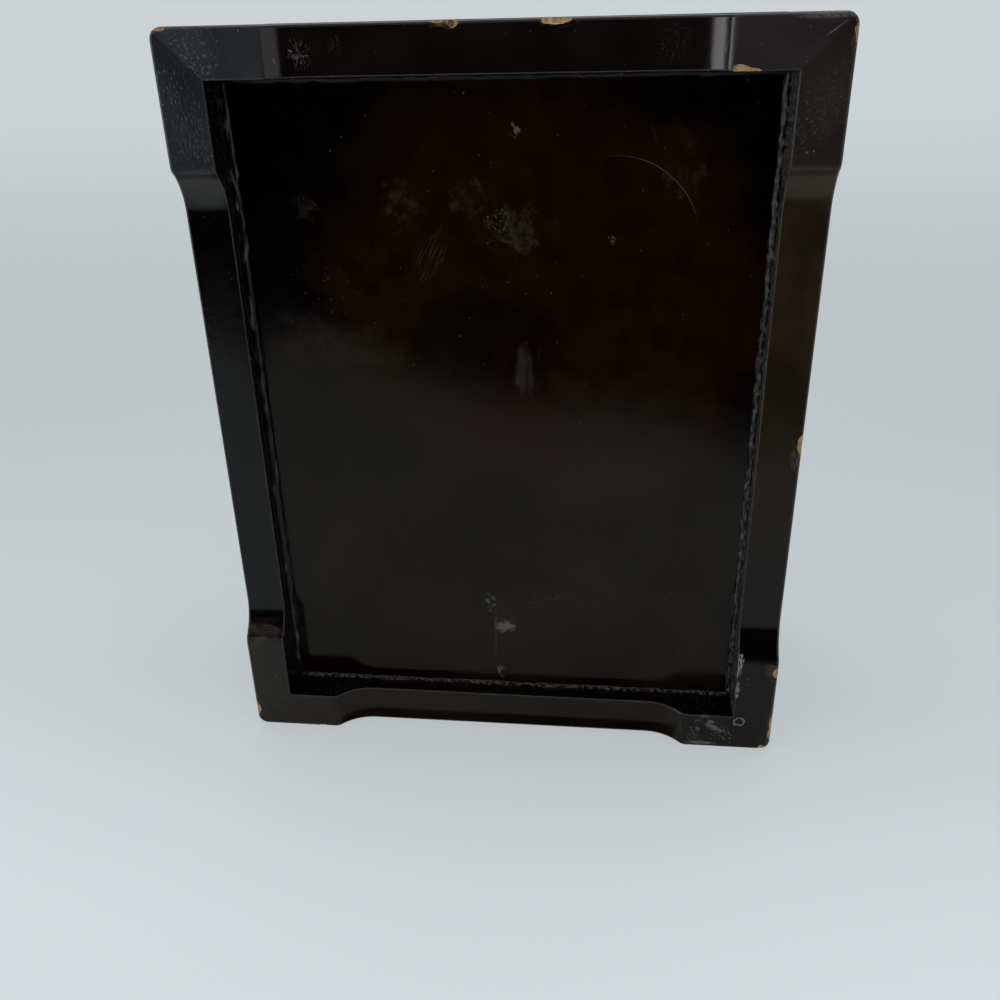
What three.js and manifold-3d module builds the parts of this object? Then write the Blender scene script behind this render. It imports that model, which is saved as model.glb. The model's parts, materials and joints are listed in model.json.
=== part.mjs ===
// A lacquered wooden trinket box with a hinged lid, standing on a bracket base.
// Millimetres, +Z up. The origin is on the floor under the middle of the box,
// the long side runs along X, the front faces -Y and the hinges are at +Y.
import * as THREE from 'three';
import { mergeVertices } from 'three/addons/utils/BufferGeometryUtils.js';
import Module from 'manifold-3d';

const wasm = await Module();
wasm.setup();

// Overall size: the footprint is that of the base and of the lid's top board
const footprintLength = 190;
const footprintWidth = 151;
const overallHeight = 76;
const cornerRadius = 1.6;

// Base rails: four mitred boards whose lower edge is cut away between the feet
const railWidth = 11;
const railHeight = 10.5;
const railEdgeRadius = 1.8;
const reliefDepth = 5.1;
const longFoot = 29;
const shortFoot = 23.5;
const rampToeRadius = 3;
const rampCoveRadius = 13;

// Body: the walls stand back from the edge of the base, and take what height is left
const bodySetbackWidth = 2;
const wallThickness = 9;
const bottomThickness = 6.5;
const rebateDepth = 1;
const liningThickness = 2.5;
const lipHeight = 3.5;
const lipClearance = 0.4;

// Lid
const lidRailHeight = 16;
const lidTopThickness = 8;
const lidTopEdgeRadius = 3.5;

// The back edges are bevelled about the hinge axis, and stop the open lid
const openAngle = 100;
const stopClearanceAngle = 1;
const hingeInsetDistance = 2.6;

// Hinges: two brass butts let into the edges
const hingeLength = 24;
const hingeEndDistance = 33;
const leafWidth = 5.7;
const mortiseDepth = 1;
const leafThickness = 0.9;
const knuckleRadius = 1.8;
const boreRadius = 0.95;
const pinRadius = 0.65;
const knuckleGap = 0.3;
const fitGap = 0.3;

// Countersunk screws, two in each leaf
const screwSpacing = 14;
const screwLength = 7;
const screwHeadRadius = 1.2;
const screwHeadHeight = 0.6;
const screwShankRadius = 0.7;
const screwTipLength = 1.8;
const screwSunkDepth = 0.05;
const slotWidth = 0.4;
const slotDepth = 0.3;

// How far a cutting shape runs past the face that it cuts
const overrunLength = 1;

// How finely round shapes are cut
const rampSteps = 7;
const edgeSteps = 4;
const knuckleSides = 20;
const screwSides = 12;

// Levels and places that follow from the sizes above
const bodyLength = footprintLength - 2 * bodySetbackWidth;
const bodyWidth = footprintWidth - 2 * bodySetbackWidth;
const boardLevel = railHeight;
const floorLevel = boardLevel + bottomThickness;
const seatLevel = floorLevel - rebateDepth;
const topLevel = overallHeight;
const lidTopLevel = topLevel - lidTopThickness;
const jointLevel = lidTopLevel - lidRailHeight;
const hingeY = bodyWidth / 2 - hingeInsetDistance;
const screwY = hingeY - (leafWidth + knuckleRadius + fitGap) / 2;
const bevelAngle = THREE.MathUtils.degToRad((openAngle + stopClearanceAngle) / 2);

const alongX = new THREE.Matrix4().makeBasis(
  new THREE.Vector3(0, 1, 0),
  new THREE.Vector3(0, 0, 1),
  new THREE.Vector3(1, 0, 0),
);
const alongY = new THREE.Matrix4().makeBasis(
  new THREE.Vector3(1, 0, 0),
  new THREE.Vector3(0, 0, 1),
  new THREE.Vector3(0, -1, 0),
);
const quarterTurn = new THREE.Matrix4().makeBasis(
  new THREE.Vector3(0, 1, 0),
  new THREE.Vector3(-1, 0, 0),
  new THREE.Vector3(0, 0, 1),
);
const upsideDown = new THREE.Matrix4().makeScale(1, -1, -1);

function toSolid(geometry) {
  geometry.deleteAttribute('normal');
  geometry.deleteAttribute('uv');
  const merged = mergeVertices(geometry, 1e-5);
  const vertProperties = new Float32Array(merged.attributes.position.array);
  const triVerts = new Uint32Array(merged.index.array);
  return new wasm.Manifold(new wasm.Mesh({ numProp: 3, vertProperties, triVerts }));
}

function toGeometry(solid) {
  const { vertProperties, triVerts } = solid.getMesh();
  const geometry = new THREE.BufferGeometry();
  geometry.setAttribute('position', new THREE.BufferAttribute(vertProperties, 3));
  geometry.setIndex(new THREE.BufferAttribute(triVerts, 1));
  return geometry;
}

// A prism on an outline: 'z' reads it as X,Y, 'x' as Y,Z and 'y' as X,Z
function prism(outline, axis, from, to) {
  const points = outline.map(([u, v]) => new THREE.Vector2(u, v));
  const geometry = new THREE.ExtrudeGeometry(new THREE.Shape(points), {
    depth: 1,
    bevelEnabled: false,
  });
  const low = axis === 'y' ? -to : from;
  const high = axis === 'y' ? -from : to;
  const position = geometry.attributes.position;
  for (let i = 0; i < position.count; i += 1) {
    position.setZ(i, position.getZ(i) < 0.5 ? low : high);
  }
  if (axis === 'x') {
    geometry.applyMatrix4(alongX);
  }
  if (axis === 'y') {
    geometry.applyMatrix4(alongY);
  }
  return toSolid(geometry);
}

function arc(u, v, radius, startDegrees, endDegrees, steps) {
  return Array.from({ length: steps + 1 }, (_, i) => {
    const angle = THREE.MathUtils.degToRad(startDegrees + ((endDegrees - startDegrees) * i) / steps);
    return [u + radius * Math.cos(angle), v + radius * Math.sin(angle)];
  });
}

// A rectangle round the origin with its four corners rounded
function roundedPlan(length, width) {
  const u = length / 2 - cornerRadius;
  const v = width / 2 - cornerRadius;
  return [
    ...arc(u, v, cornerRadius, 0, 90, edgeSteps),
    ...arc(-u, v, cornerRadius, 90, 180, edgeSteps),
    ...arc(-u, -v, cornerRadius, 180, 270, edgeSteps),
    ...arc(u, -v, cornerRadius, 270, 360, edgeSteps),
  ];
}

// A board's end view with its two upper edges rounded
function roundedTop(width, from, to, radius) {
  const u = width / 2 - radius;
  return [
    [-width / 2, from],
    [width / 2, from],
    ...arc(u, to - radius, radius, 0, 90, edgeSteps),
    ...arc(-u, to - radius, radius, 90, 180, edgeSteps),
  ];
}

// The block that a frame or board with rounded corners and upper edges fills
function roundedBlock(length, width, from, to, radius) {
  const plan = prism(roundedPlan(length, width), 'z', from, to);
  const acrossX = prism(roundedTop(width, from, to, radius), 'x', -length / 2, length / 2);
  const acrossY = prism(roundedTop(length, from, to, radius), 'y', -width / 2, width / 2);
  return plan.intersect(acrossX).intersect(acrossY);
}

const sides = { front: 0, right: 1, back: 2, left: 3 };

// Turns a piece made for the front round to another side of the box
function toSide(solid, side) {
  const geometry = toGeometry(solid);
  for (let turn = 0; turn < sides[side]; turn += 1) {
    geometry.applyMatrix4(quarterTurn);
  }
  return toSolid(geometry);
}

function isEnd(side) {
  return side === 'left' || side === 'right';
}

// One mitred board of a rectangular frame of boards
function mitredBoard(side, length, width, thickness, from, to) {
  const u = (isEnd(side) ? width : length) / 2;
  const v = (isEnd(side) ? length : width) / 2;
  const plan = [
    [-u, -v],
    [u, -v],
    [u - thickness, -v + thickness],
    [-u + thickness, -v + thickness],
  ];
  return toSide(prism(plan, 'z', from, to), side);
}

// The outline of a base rail, with an S-shaped ramp from each foot to the cut-away edge
function railOutline(length, foot) {
  const turn = Math.acos(1 - reliefDepth / (rampToeRadius + rampCoveRadius));
  const turnDegrees = THREE.MathUtils.radToDeg(turn);
  const toe = -length / 2 + foot;
  const cove = toe + (rampToeRadius + rampCoveRadius) * Math.sin(turn);
  const covePoints = arc(
    cove,
    reliefDepth - rampCoveRadius,
    rampCoveRadius,
    90 + turnDegrees,
    90,
    rampSteps,
  );
  const ramp = [
    ...arc(toe, rampToeRadius, rampToeRadius, -90, -90 + turnDegrees, rampSteps),
    ...covePoints.slice(1),
  ];
  const mirrored = ramp.map(([u, v]) => [-u, v]).reverse();
  return [
    [-length / 2, 0],
    ...ramp,
    ...mirrored,
    [length / 2, 0],
    [length / 2, railHeight],
    [-length / 2, railHeight],
  ];
}

const baseBlock = roundedBlock(footprintLength, footprintWidth, 0, railHeight, railEdgeRadius);

function baseRail(side) {
  const length = isEnd(side) ? footprintWidth : footprintLength;
  const reach = isEnd(side) ? footprintLength : footprintWidth;
  const outline = railOutline(length, isEnd(side) ? shortFoot : longFoot);
  const shaped = toSide(prism(outline, 'y', -reach / 2, -reach / 2 + railWidth), side);
  const board = mitredBoard(side, footprintLength, footprintWidth, railWidth, 0, railHeight);
  return board.intersect(shaped).intersect(baseBlock);
}

const bodyPlan = roundedPlan(bodyLength, bodyWidth);

// The wedges that bevel the back edges above and below the hinge axis
const wedgeReach = hingeInsetDistance + overrunLength;
const wedgeDrop = wedgeReach * Math.tan(bevelAngle);
const lowerBevel = prism(
  [
    [hingeY, jointLevel],
    [hingeY + wedgeReach, jointLevel - wedgeDrop],
    [hingeY + wedgeReach, jointLevel + overrunLength],
    [hingeY, jointLevel + overrunLength],
  ],
  'x',
  -footprintLength,
  footprintLength,
);
const upperBevel = prism(
  [
    [hingeY, jointLevel - overrunLength],
    [hingeY + wedgeReach, jointLevel - overrunLength],
    [hingeY + wedgeReach, jointLevel + wedgeDrop],
    [hingeY, jointLevel],
  ],
  'x',
  -footprintLength,
  footprintLength,
);

const hingePlaces = {
  left: hingeEndDistance - bodyLength / 2,
  right: bodyLength / 2 - hingeEndDistance,
};
const screwPlaces = { left: -screwSpacing / 2, right: screwSpacing / 2 };

// A cylinder along the hinge axis
function axisCylinder(radius, from, to) {
  return prism(arc(hingeY, jointLevel, radius, 0, 360, knuckleSides).slice(1), 'x', from, to);
}

// A vertical cylinder or cone over a screw's place
function screwCylinder(x, lowRadius, highRadius, from, to) {
  const geometry = new THREE.CylinderGeometry(highRadius, lowRadius, to - from, knuckleSides);
  geometry.applyMatrix4(alongY);
  geometry.translate(x, screwY, (from + to) / 2);
  return toSolid(geometry);
}

// What is cut from the wood round one hinge: the knuckles' groove, the mortise
// for a leaf between two levels, and the screws' pilot holes
function hingeSeat(hingeX, mortiseFrom, mortiseTo, pilotFrom, pilotTo) {
  const reach = hingeLength / 2 + fitGap;
  const groove = axisCylinder(knuckleRadius + fitGap, hingeX - reach, hingeX + reach);
  const mortise = prism(
    [
      [hingeX - reach, hingeY - wallThickness],
      [hingeX + reach, hingeY - wallThickness],
      [hingeX + reach, hingeY],
      [hingeX - reach, hingeY],
    ],
    'z',
    mortiseFrom,
    mortiseTo,
  );
  const pilots = Object.values(screwPlaces).map((place) => {
    const radius = screwShankRadius + fitGap;
    return screwCylinder(hingeX + place, radius, radius, pilotFrom, pilotTo);
  });
  return pilots.reduce((cut, pilot) => cut.add(pilot), groove.add(mortise));
}

const pilotDepth = screwLength + fitGap;

function wall(side) {
  const board = mitredBoard(side, bodyLength, bodyWidth, wallThickness, seatLevel, jointLevel);
  const rounded = board.intersect(prism(bodyPlan, 'z', seatLevel, jointLevel));
  let piece = rounded.subtract(lowerBevel);
  if (side === 'back') {
    for (const hingeX of Object.values(hingePlaces)) {
      const low = jointLevel - mortiseDepth;
      const above = jointLevel + overrunLength;
      const seat = hingeSeat(hingeX, low, above, jointLevel - pilotDepth, jointLevel);
      piece = piece.subtract(seat);
    }
  }
  return piece;
}

function lidRail(side) {
  const thickness = wallThickness - lipClearance;
  const board = mitredBoard(side, bodyLength, bodyWidth, thickness, jointLevel, lidTopLevel);
  const rounded = board.intersect(prism(bodyPlan, 'z', jointLevel, lidTopLevel));
  let piece = rounded.subtract(upperBevel);
  if (side === 'back') {
    for (const hingeX of Object.values(hingePlaces)) {
      const high = jointLevel + mortiseDepth;
      const below = jointLevel - overrunLength;
      const seat = hingeSeat(hingeX, below, high, jointLevel, jointLevel + pilotDepth);
      piece = piece.subtract(seat);
    }
  }
  return piece;
}

function lining(side) {
  const length = bodyLength - 2 * wallThickness;
  const width = bodyWidth - 2 * wallThickness;
  return mitredBoard(side, length, width, liningThickness, seatLevel, jointLevel + lipHeight);
}

const knuckleLength = (hingeLength - 2 * knuckleGap) / 3;
const knuckleReach = knuckleLength / 2;
const outerKnuckles = [
  [-hingeLength / 2, -knuckleReach - knuckleGap],
  [knuckleReach + knuckleGap, hingeLength / 2],
];
const middleKnuckle = [[-knuckleReach, knuckleReach]];

// A leaf with its own knuckles, cut clear of the other leaf's knuckles.
// The plate lies between two levels, and its screw holes widen towards the joint.
function hingeLeaf(hingeX, ownKnuckles, otherKnuckles, plateFrom, plateTo, holeLow, holeHigh) {
  let leaf = prism(
    [
      [hingeX - hingeLength / 2, hingeY - leafWidth],
      [hingeX + hingeLength / 2, hingeY - leafWidth],
      [hingeX + hingeLength / 2, hingeY],
      [hingeX - hingeLength / 2, hingeY],
    ],
    'z',
    plateFrom,
    plateTo,
  );
  for (const [from, to] of otherKnuckles) {
    const start = from - knuckleGap;
    const end = to + knuckleGap;
    const clearance = axisCylinder(knuckleRadius + fitGap, hingeX + start, hingeX + end);
    leaf = leaf.subtract(clearance);
  }
  for (const [from, to] of ownKnuckles) {
    leaf = leaf.add(axisCylinder(knuckleRadius, hingeX + from, hingeX + to));
  }
  leaf = leaf.subtract(axisCylinder(boreRadius, hingeX - hingeLength, hingeX + hingeLength));
  for (const place of Object.values(screwPlaces)) {
    const hole = screwCylinder(hingeX + place, holeLow, holeHigh, plateFrom, plateTo);
    leaf = leaf.subtract(hole);
  }
  return leaf;
}

const holeWide = screwHeadRadius + fitGap;
const holeNarrow = screwShankRadius + fitGap;

function bodyLeaf(hingeX) {
  const low = jointLevel - mortiseDepth;
  const high = low + leafThickness;
  return hingeLeaf(hingeX, outerKnuckles, middleKnuckle, low, high, holeNarrow, holeWide);
}

function lidLeaf(hingeX) {
  const high = jointLevel + mortiseDepth;
  const low = high - leafThickness;
  return hingeLeaf(hingeX, middleKnuckle, outerKnuckles, low, high, holeWide, holeNarrow);
}

// A slotted screw, pointing down, with the top of its head at the origin
function screw() {
  const profile = [
    new THREE.Vector2(0, -screwLength),
    new THREE.Vector2(screwShankRadius, -screwLength + screwTipLength),
    new THREE.Vector2(screwShankRadius, -screwHeadHeight),
    new THREE.Vector2(screwHeadRadius, 0),
    new THREE.Vector2(0, 0),
  ];
  const geometry = new THREE.LatheGeometry(profile, screwSides);
  geometry.applyMatrix4(alongY);
  const slot = prism(
    [
      [-screwHeadRadius, -slotWidth / 2],
      [screwHeadRadius, -slotWidth / 2],
      [screwHeadRadius, slotWidth / 2],
      [-screwHeadRadius, slotWidth / 2],
    ],
    'z',
    -slotDepth,
    slotDepth,
  );
  return toSolid(geometry).subtract(slot);
}

const blackLacquer = new THREE.MeshStandardMaterial({ color: 0x17110f, roughness: 0.22 });
const redLacquer = new THREE.MeshStandardMaterial({ color: 0x6e1710, roughness: 0.3 });
const brass = new THREE.MeshStandardMaterial({ color: 0xa98543, roughness: 0.38, metalness: 1 });

const box = new THREE.Group();
const lid = new THREE.Group();
box.add(lid);

function addPiece(group, name, geometry, material) {
  geometry.computeVertexNormals();
  const mesh = new THREE.Mesh(geometry, material.clone());
  mesh.name = name;
  group.add(mesh);
  return mesh;
}

for (const side of Object.keys(sides)) {
  addPiece(box, `base_rail_${side}`, toGeometry(baseRail(side)), blackLacquer);
  addPiece(box, `wall_${side}`, toGeometry(wall(side)), blackLacquer);
  addPiece(box, `lining_${side}`, toGeometry(lining(side)), redLacquer);
  addPiece(lid, `lid_rail_${side}`, toGeometry(lidRail(side)), blackLacquer);
}

// The walls and linings stand in a rebate round the bottom board
const fieldSetbackWidth = wallThickness + liningThickness + fitGap;
const field = prism(
  [
    [fieldSetbackWidth - bodyLength / 2, fieldSetbackWidth - bodyWidth / 2],
    [bodyLength / 2 - fieldSetbackWidth, fieldSetbackWidth - bodyWidth / 2],
    [bodyLength / 2 - fieldSetbackWidth, bodyWidth / 2 - fieldSetbackWidth],
    [fieldSetbackWidth - bodyLength / 2, bodyWidth / 2 - fieldSetbackWidth],
  ],
  'z',
  boardLevel,
  floorLevel,
);
const bottomBoard = prism(bodyPlan, 'z', boardLevel, seatLevel).add(field);
addPiece(box, 'bottom_board', toGeometry(bottomBoard), blackLacquer);

const lidTop = roundedBlock(
  footprintLength,
  footprintWidth,
  lidTopLevel,
  topLevel,
  lidTopEdgeRadius,
);
addPiece(lid, 'lid_top', toGeometry(lidTop), blackLacquer);

const screwGeometry = toGeometry(screw());
const headLevel = mortiseDepth - leafThickness + screwSunkDepth;

for (const [hand, hingeX] of Object.entries(hingePlaces)) {
  addPiece(box, `hinge_${hand}_body_leaf`, toGeometry(bodyLeaf(hingeX)), brass);
  addPiece(lid, `hinge_${hand}_lid_leaf`, toGeometry(lidLeaf(hingeX)), brass);
  const pin = axisCylinder(pinRadius, hingeX - hingeLength / 2, hingeX + hingeLength / 2);
  addPiece(box, `hinge_${hand}_pin`, toGeometry(pin), brass);
  for (const [place, offset] of Object.entries(screwPlaces)) {
    const bodyScrew = addPiece(
      box,
      `hinge_${hand}_body_screw_${place}`,
      screwGeometry.clone(),
      brass,
    );
    bodyScrew.position.set(hingeX + offset, screwY, jointLevel - headLevel);
    const lidScrew = addPiece(
      lid,
      `hinge_${hand}_lid_screw_${place}`,
      screwGeometry.clone().applyMatrix4(upsideDown),
      brass,
    );
    lidScrew.position.set(hingeX + offset, screwY, jointLevel + headLevel);
  }
}

export default box;
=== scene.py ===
# A black lacquer trinket box on a bracket base, shown standing on one end so that
# its underside faces the camera. Metres, with the box's own +Z up through its lid.
import math

import bmesh
import bpy
from mathutils import Matrix, Vector
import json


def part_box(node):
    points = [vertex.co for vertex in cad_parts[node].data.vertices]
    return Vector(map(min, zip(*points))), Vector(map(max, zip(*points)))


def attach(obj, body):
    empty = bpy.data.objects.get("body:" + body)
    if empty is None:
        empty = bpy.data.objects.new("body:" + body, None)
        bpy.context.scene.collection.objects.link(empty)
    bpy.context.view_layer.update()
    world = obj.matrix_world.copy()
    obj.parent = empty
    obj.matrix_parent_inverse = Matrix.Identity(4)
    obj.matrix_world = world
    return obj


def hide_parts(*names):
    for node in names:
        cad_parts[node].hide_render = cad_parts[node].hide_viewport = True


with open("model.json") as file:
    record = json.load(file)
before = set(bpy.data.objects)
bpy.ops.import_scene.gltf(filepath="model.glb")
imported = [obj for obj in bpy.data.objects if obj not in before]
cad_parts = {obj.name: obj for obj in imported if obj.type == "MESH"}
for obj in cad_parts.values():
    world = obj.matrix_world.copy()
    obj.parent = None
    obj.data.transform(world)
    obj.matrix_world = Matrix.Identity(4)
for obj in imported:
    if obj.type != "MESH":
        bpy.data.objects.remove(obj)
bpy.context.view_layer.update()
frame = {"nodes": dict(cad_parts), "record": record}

# The base is four boards of hardwood, mitred and glued under the box and lacquered black.
# Each is cut away between its feet, with an S-shaped ramp from each foot up to the cut.
# The lacquer is rubbed dull and scratched, and knocked off to bare wood at some edges.
RAIL_CUT = 0.0051
LONG_FOOT = 0.029
SHORT_FOOT = 0.0235
RAMP_TOE_RADIUS = 0.003
RAMP_COVE_RADIUS = 0.013
TOE_STEPS = 6
COVE_STEPS = 9
RAIL_OUTER_EDGE = 0.0008
RAIL_INNER_EDGE = 0.0004
RAIL_UPPER_EDGE = 0.0017
BASE_CORNER = 0.0028
OVERSIZE = 0.001
HARDLY = 1e-5


def add_block(name, low, high):
    """Adds a block between two corners."""
    bpy.ops.object.select_all(action="DESELECT")
    low = Vector(low)
    high = Vector(high)
    bpy.ops.mesh.primitive_cube_add(size=1, location=(low + high) / 2)
    piece = bpy.context.object
    piece.scale = high - low
    bpy.ops.object.transform_apply(location=True, rotation=True, scale=True)
    piece.name = name
    piece.data.name = name
    return piece


def edit(piece, mode="FACE", wanted=lambda element: True):
    """Opens a piece in edit mode with the wanted faces, edges or corners selected."""
    bpy.ops.object.select_all(action="DESELECT")
    piece.select_set(True)
    bpy.context.view_layer.objects.active = piece
    bpy.ops.object.mode_set(mode="EDIT")
    bpy.ops.mesh.select_mode(type=mode)
    bpy.ops.mesh.select_all(action="DESELECT")
    mesh = bmesh.from_edit_mesh(piece.data)
    elements = {"FACE": mesh.faces, "EDGE": mesh.edges, "VERT": mesh.verts}[mode]
    mesh.normal_update()
    for element in elements:
        element.select_set(wanted(element))
    bmesh.update_edit_mesh(piece.data)


def close():
    """Leaves edit mode."""
    bpy.ops.object.mode_set(mode="OBJECT")


def saw(piece, point, normal, drop=True):
    """Saws a piece through on a plane, and drops what lies on the normal's side."""
    edit(piece)
    bpy.ops.mesh.bisect(plane_co=point, plane_no=normal, use_fill=drop, clear_outer=drop)
    close()


def round_edges(piece, radius, segments, wanted):
    """Rounds the wanted edges of a piece."""
    edit(piece, "EDGE", wanted)
    bpy.ops.mesh.bevel(offset=radius, offset_type="OFFSET", segments=segments, profile=0.5)
    close()


def combine(piece, tool, operation):
    """Cuts a piece by another, or keeps only what lies in both, and removes the other."""
    modifier = piece.modifiers.new("cut", "BOOLEAN")
    modifier.operation = operation
    modifier.solver = "EXACT"
    modifier.material_mode = "TRANSFER"
    modifier.object = tool
    bpy.context.view_layer.objects.active = piece
    bpy.ops.object.modifier_apply(modifier=modifier.name)
    bpy.data.objects.remove(tool)


def half_turn_copy(piece, name):
    """Copies a piece to the opposite side of the box."""
    bpy.ops.object.select_all(action="DESELECT")
    piece.select_set(True)
    bpy.context.view_layer.objects.active = piece
    bpy.ops.object.duplicate()
    twin = bpy.context.object
    twin.name = name
    twin.data.name = name
    bpy.ops.transform.rotate(value=math.pi, orient_axis="Z", center_override=(0, 0, 0))
    bpy.ops.object.transform_apply(location=True, rotation=True, scale=True)
    return twin


def smooth(piece, degrees=40):
    """Shades a piece smooth across its rounded edges and keeps its sharp ones."""
    bpy.ops.object.select_all(action="DESELECT")
    piece.select_set(True)
    bpy.context.view_layer.objects.active = piece
    bpy.ops.object.shade_smooth_by_angle(angle=math.radians(degrees))
    flat = piece.modifiers.new("flat_faces_stay_flat", "WEIGHTED_NORMAL")
    flat.keep_sharp = True
    bpy.ops.object.modifier_apply(modifier=flat.name)


def across(edge, first, second):
    """True if an edge lies between a face that passes one test and one that passes another."""
    if len(edge.link_faces) != 2:
        return False
    a, b = (face.normal for face in edge.link_faces)
    return (first(a) and second(b)) or (first(b) and second(a))


def add_node(tree, kind, settings=None, **inputs):
    """Adds a shader node, sets its options, and sets or links its inputs."""
    new = tree.nodes.new("ShaderNode" + kind)
    for option, value in (settings or {}).items():
        setattr(new, option, value)
    for name, value in inputs.items():
        index = int(name[1:]) if name[1:].isdigit() else name.replace("_", " ")
        if isinstance(value, bpy.types.NodeSocket):
            tree.links.new(value, new.inputs[index])
        else:
            new.inputs[index].default_value = value
    return new


def sum_up(tree, operation, first, second=0.0, clamp=False):
    """The result of one sum on two numbers."""
    settings = {"operation": operation, "use_clamp": clamp}
    return add_node(tree, "Math", settings, i0=first, i1=second).outputs[0]


def vectors(tree, operation, first, second=None):
    """The result of one sum on vectors."""
    inputs = {"i0": first}
    if second is not None:
        inputs["i1"] = second
    new = add_node(tree, "VectorMath", {"operation": operation}, **inputs)
    scalar = operation in ("LENGTH", "DOT_PRODUCT")
    return new.outputs["Value"] if scalar else new.outputs[0]


def spread(tree, value, low, high, start=0.0, end=1.0):
    """Spreads a number from one range smoothly onto another."""
    settings = {"interpolation_type": "SMOOTHSTEP"}
    ends = {"i1": low, "i2": high, "i3": start, "i4": end}
    return add_node(tree, "MapRange", settings, Value=value, **ends).outputs[0]


def mix_colour(tree, share, first, second):
    """Mixes two colours by a mask."""
    return add_node(tree, "MixRGB", Fac=share, Color1=first, Color2=second).outputs[0]


def turn_flat(tree, vector, angle):
    """Turns a vector about the box's upright axis."""
    settings = {"rotation_type": "Z_AXIS"}
    return add_node(tree, "VectorRotate", settings, Vector=vector, Angle=angle).outputs[0]


def new_group(name, numbers, places, outputs):
    """An empty group of shader nodes, whose inputs are numbers and vectors."""
    group = bpy.data.node_groups.new(name, "ShaderNodeTree")
    for kind, labels in (("Vector", places), ("Float", numbers)):
        for label in labels:
            group.interface.new_socket(label, in_out="INPUT", socket_type="NodeSocket" + kind)
    for label in outputs:
        group.interface.new_socket(label, in_out="OUTPUT", socket_type="NodeSocketFloat")
    given = group.nodes.new("NodeGroupInput").outputs
    result = group.nodes.new("NodeGroupOutput").inputs
    return group, given, result


def use_group(tree, group, **inputs):
    """Places a group in a material with its own values."""
    return add_node(tree, "Group", {"node_tree": group}, **inputs).outputs


def new_material(name):
    """An empty node material with its Principled shader and the object's coordinates."""
    material = bpy.data.materials.new(name)
    material.use_nodes = True
    tree = material.node_tree
    shader = tree.nodes["Principled BSDF"]
    place = tree.nodes.new("ShaderNodeTexCoord").outputs["Object"]
    return material, tree, shader, place


def dress(piece, material):
    """Gives a piece one material."""
    piece.data.materials.clear()
    piece.data.materials.append(material)


# Fine scratches lie all one way, each a drawn-out point of a stretched grid.
group, given, result = new_group(
    "fine_scratches", ["Turn", "Density", "Length", "Share"], ["Place"], ["Mask"]
)
turned = turn_flat(group, given["Place"], given["Turn"])
lengthwise = sum_up(group, "DIVIDE", given["Density"], given["Length"])
stretch = add_node(
    group, "CombineXYZ", i0=lengthwise, i1=given["Density"], i2=given["Density"]
).outputs[0]
stretched = vectors(group, "MULTIPLY", turned, stretch)
cells = add_node(group, "TexVoronoi", Vector=stretched, Scale=1.0).outputs
stroke = spread(group, cells["Distance"], 0.03, 0.09, 1.0, 0.0)
draw = add_node(group, "SeparateXYZ", i0=cells["Color"]).outputs[0]
drawn = sum_up(group, "LESS_THAN", draw, given["Share"])
group.links.new(sum_up(group, "MULTIPLY", stroke, drawn), result["Mask"])
fine_scratches = group

# Dust and pits are small round points, each of its own size.
group, given, result = new_group(
    "dust_specks", ["Density", "Size", "Share"], ["Place"], ["Mask"]
)
cells = add_node(group, "TexVoronoi", Vector=given["Place"], Scale=given["Density"]).outputs
draws = add_node(group, "SeparateXYZ", i0=cells["Color"]).outputs
reach = sum_up(group, "MULTIPLY", given["Size"], draws[1])
near = sum_up(group, "LESS_THAN", cells["Distance"], reach)
drawn = sum_up(group, "LESS_THAN", draws[0], given["Share"])
group.links.new(sum_up(group, "MULTIPLY", near, drawn), result["Mask"])
dust_specks = group

# Lacquer is rubbed through in places on the rounding of an edge. Edges gives a weight to
# those along Y, along X and upright. The Edge output marks the whole rounding, which the
# materials lighten partly as rubbing and partly as a painted highlight.
group, given, result = new_group(
    "worn_edge", ["Grain", "Wear"], ["Place", "Facing", "Edges"], ["Mask", "Edge"]
)
slant = add_node(group, "SeparateXYZ", i0=given["Facing"]).outputs
products = []
for first, second in ((0, 2), (1, 2), (0, 1)):
    product = sum_up(group, "MULTIPLY", slant[first], slant[second])
    products.append(sum_up(group, "ABSOLUTE", product))
slants = add_node(group, "CombineXYZ", i0=products[0], i1=products[1], i2=products[2]).outputs[0]
on_edge = spread(group, vectors(group, "DOT_PRODUCT", slants, given["Edges"]), 0.1, 0.45)
grain = add_node(
    group, "TexNoise", Vector=given["Place"], Scale=given["Grain"], Detail=6.0
).outputs["Fac"]
bitten = spread(group, sum_up(group, "ADD", grain, given["Wear"]), 0.6, 0.68)
group.links.new(sum_up(group, "MULTIPLY", on_edge, bitten), result["Mask"])
group.links.new(on_edge, result["Edge"])
worn_edge = group

# A single mark has its own place and size: curved hair lines, rays from its middle, flecks,
# a cloud, brush streaks, a soft disc or an oval ring.
group, given, result = new_group(
    "mark_at",
    ["Turn", "Grain", "Width"],
    ["Place", "Centre", "Size"],
    ["Lines", "Rays", "Patch", "Cloud", "Streaks", "Disc", "Ring"],
)


def thin_line(level):
    """A line where a number crosses nought, as thick as the mark's width says."""
    off = sum_up(group, "DIVIDE", sum_up(group, "ABSOLUTE", level), given["Width"])
    return spread(group, off, 0.4, 1.0, 1.0, 0.0)


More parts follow.
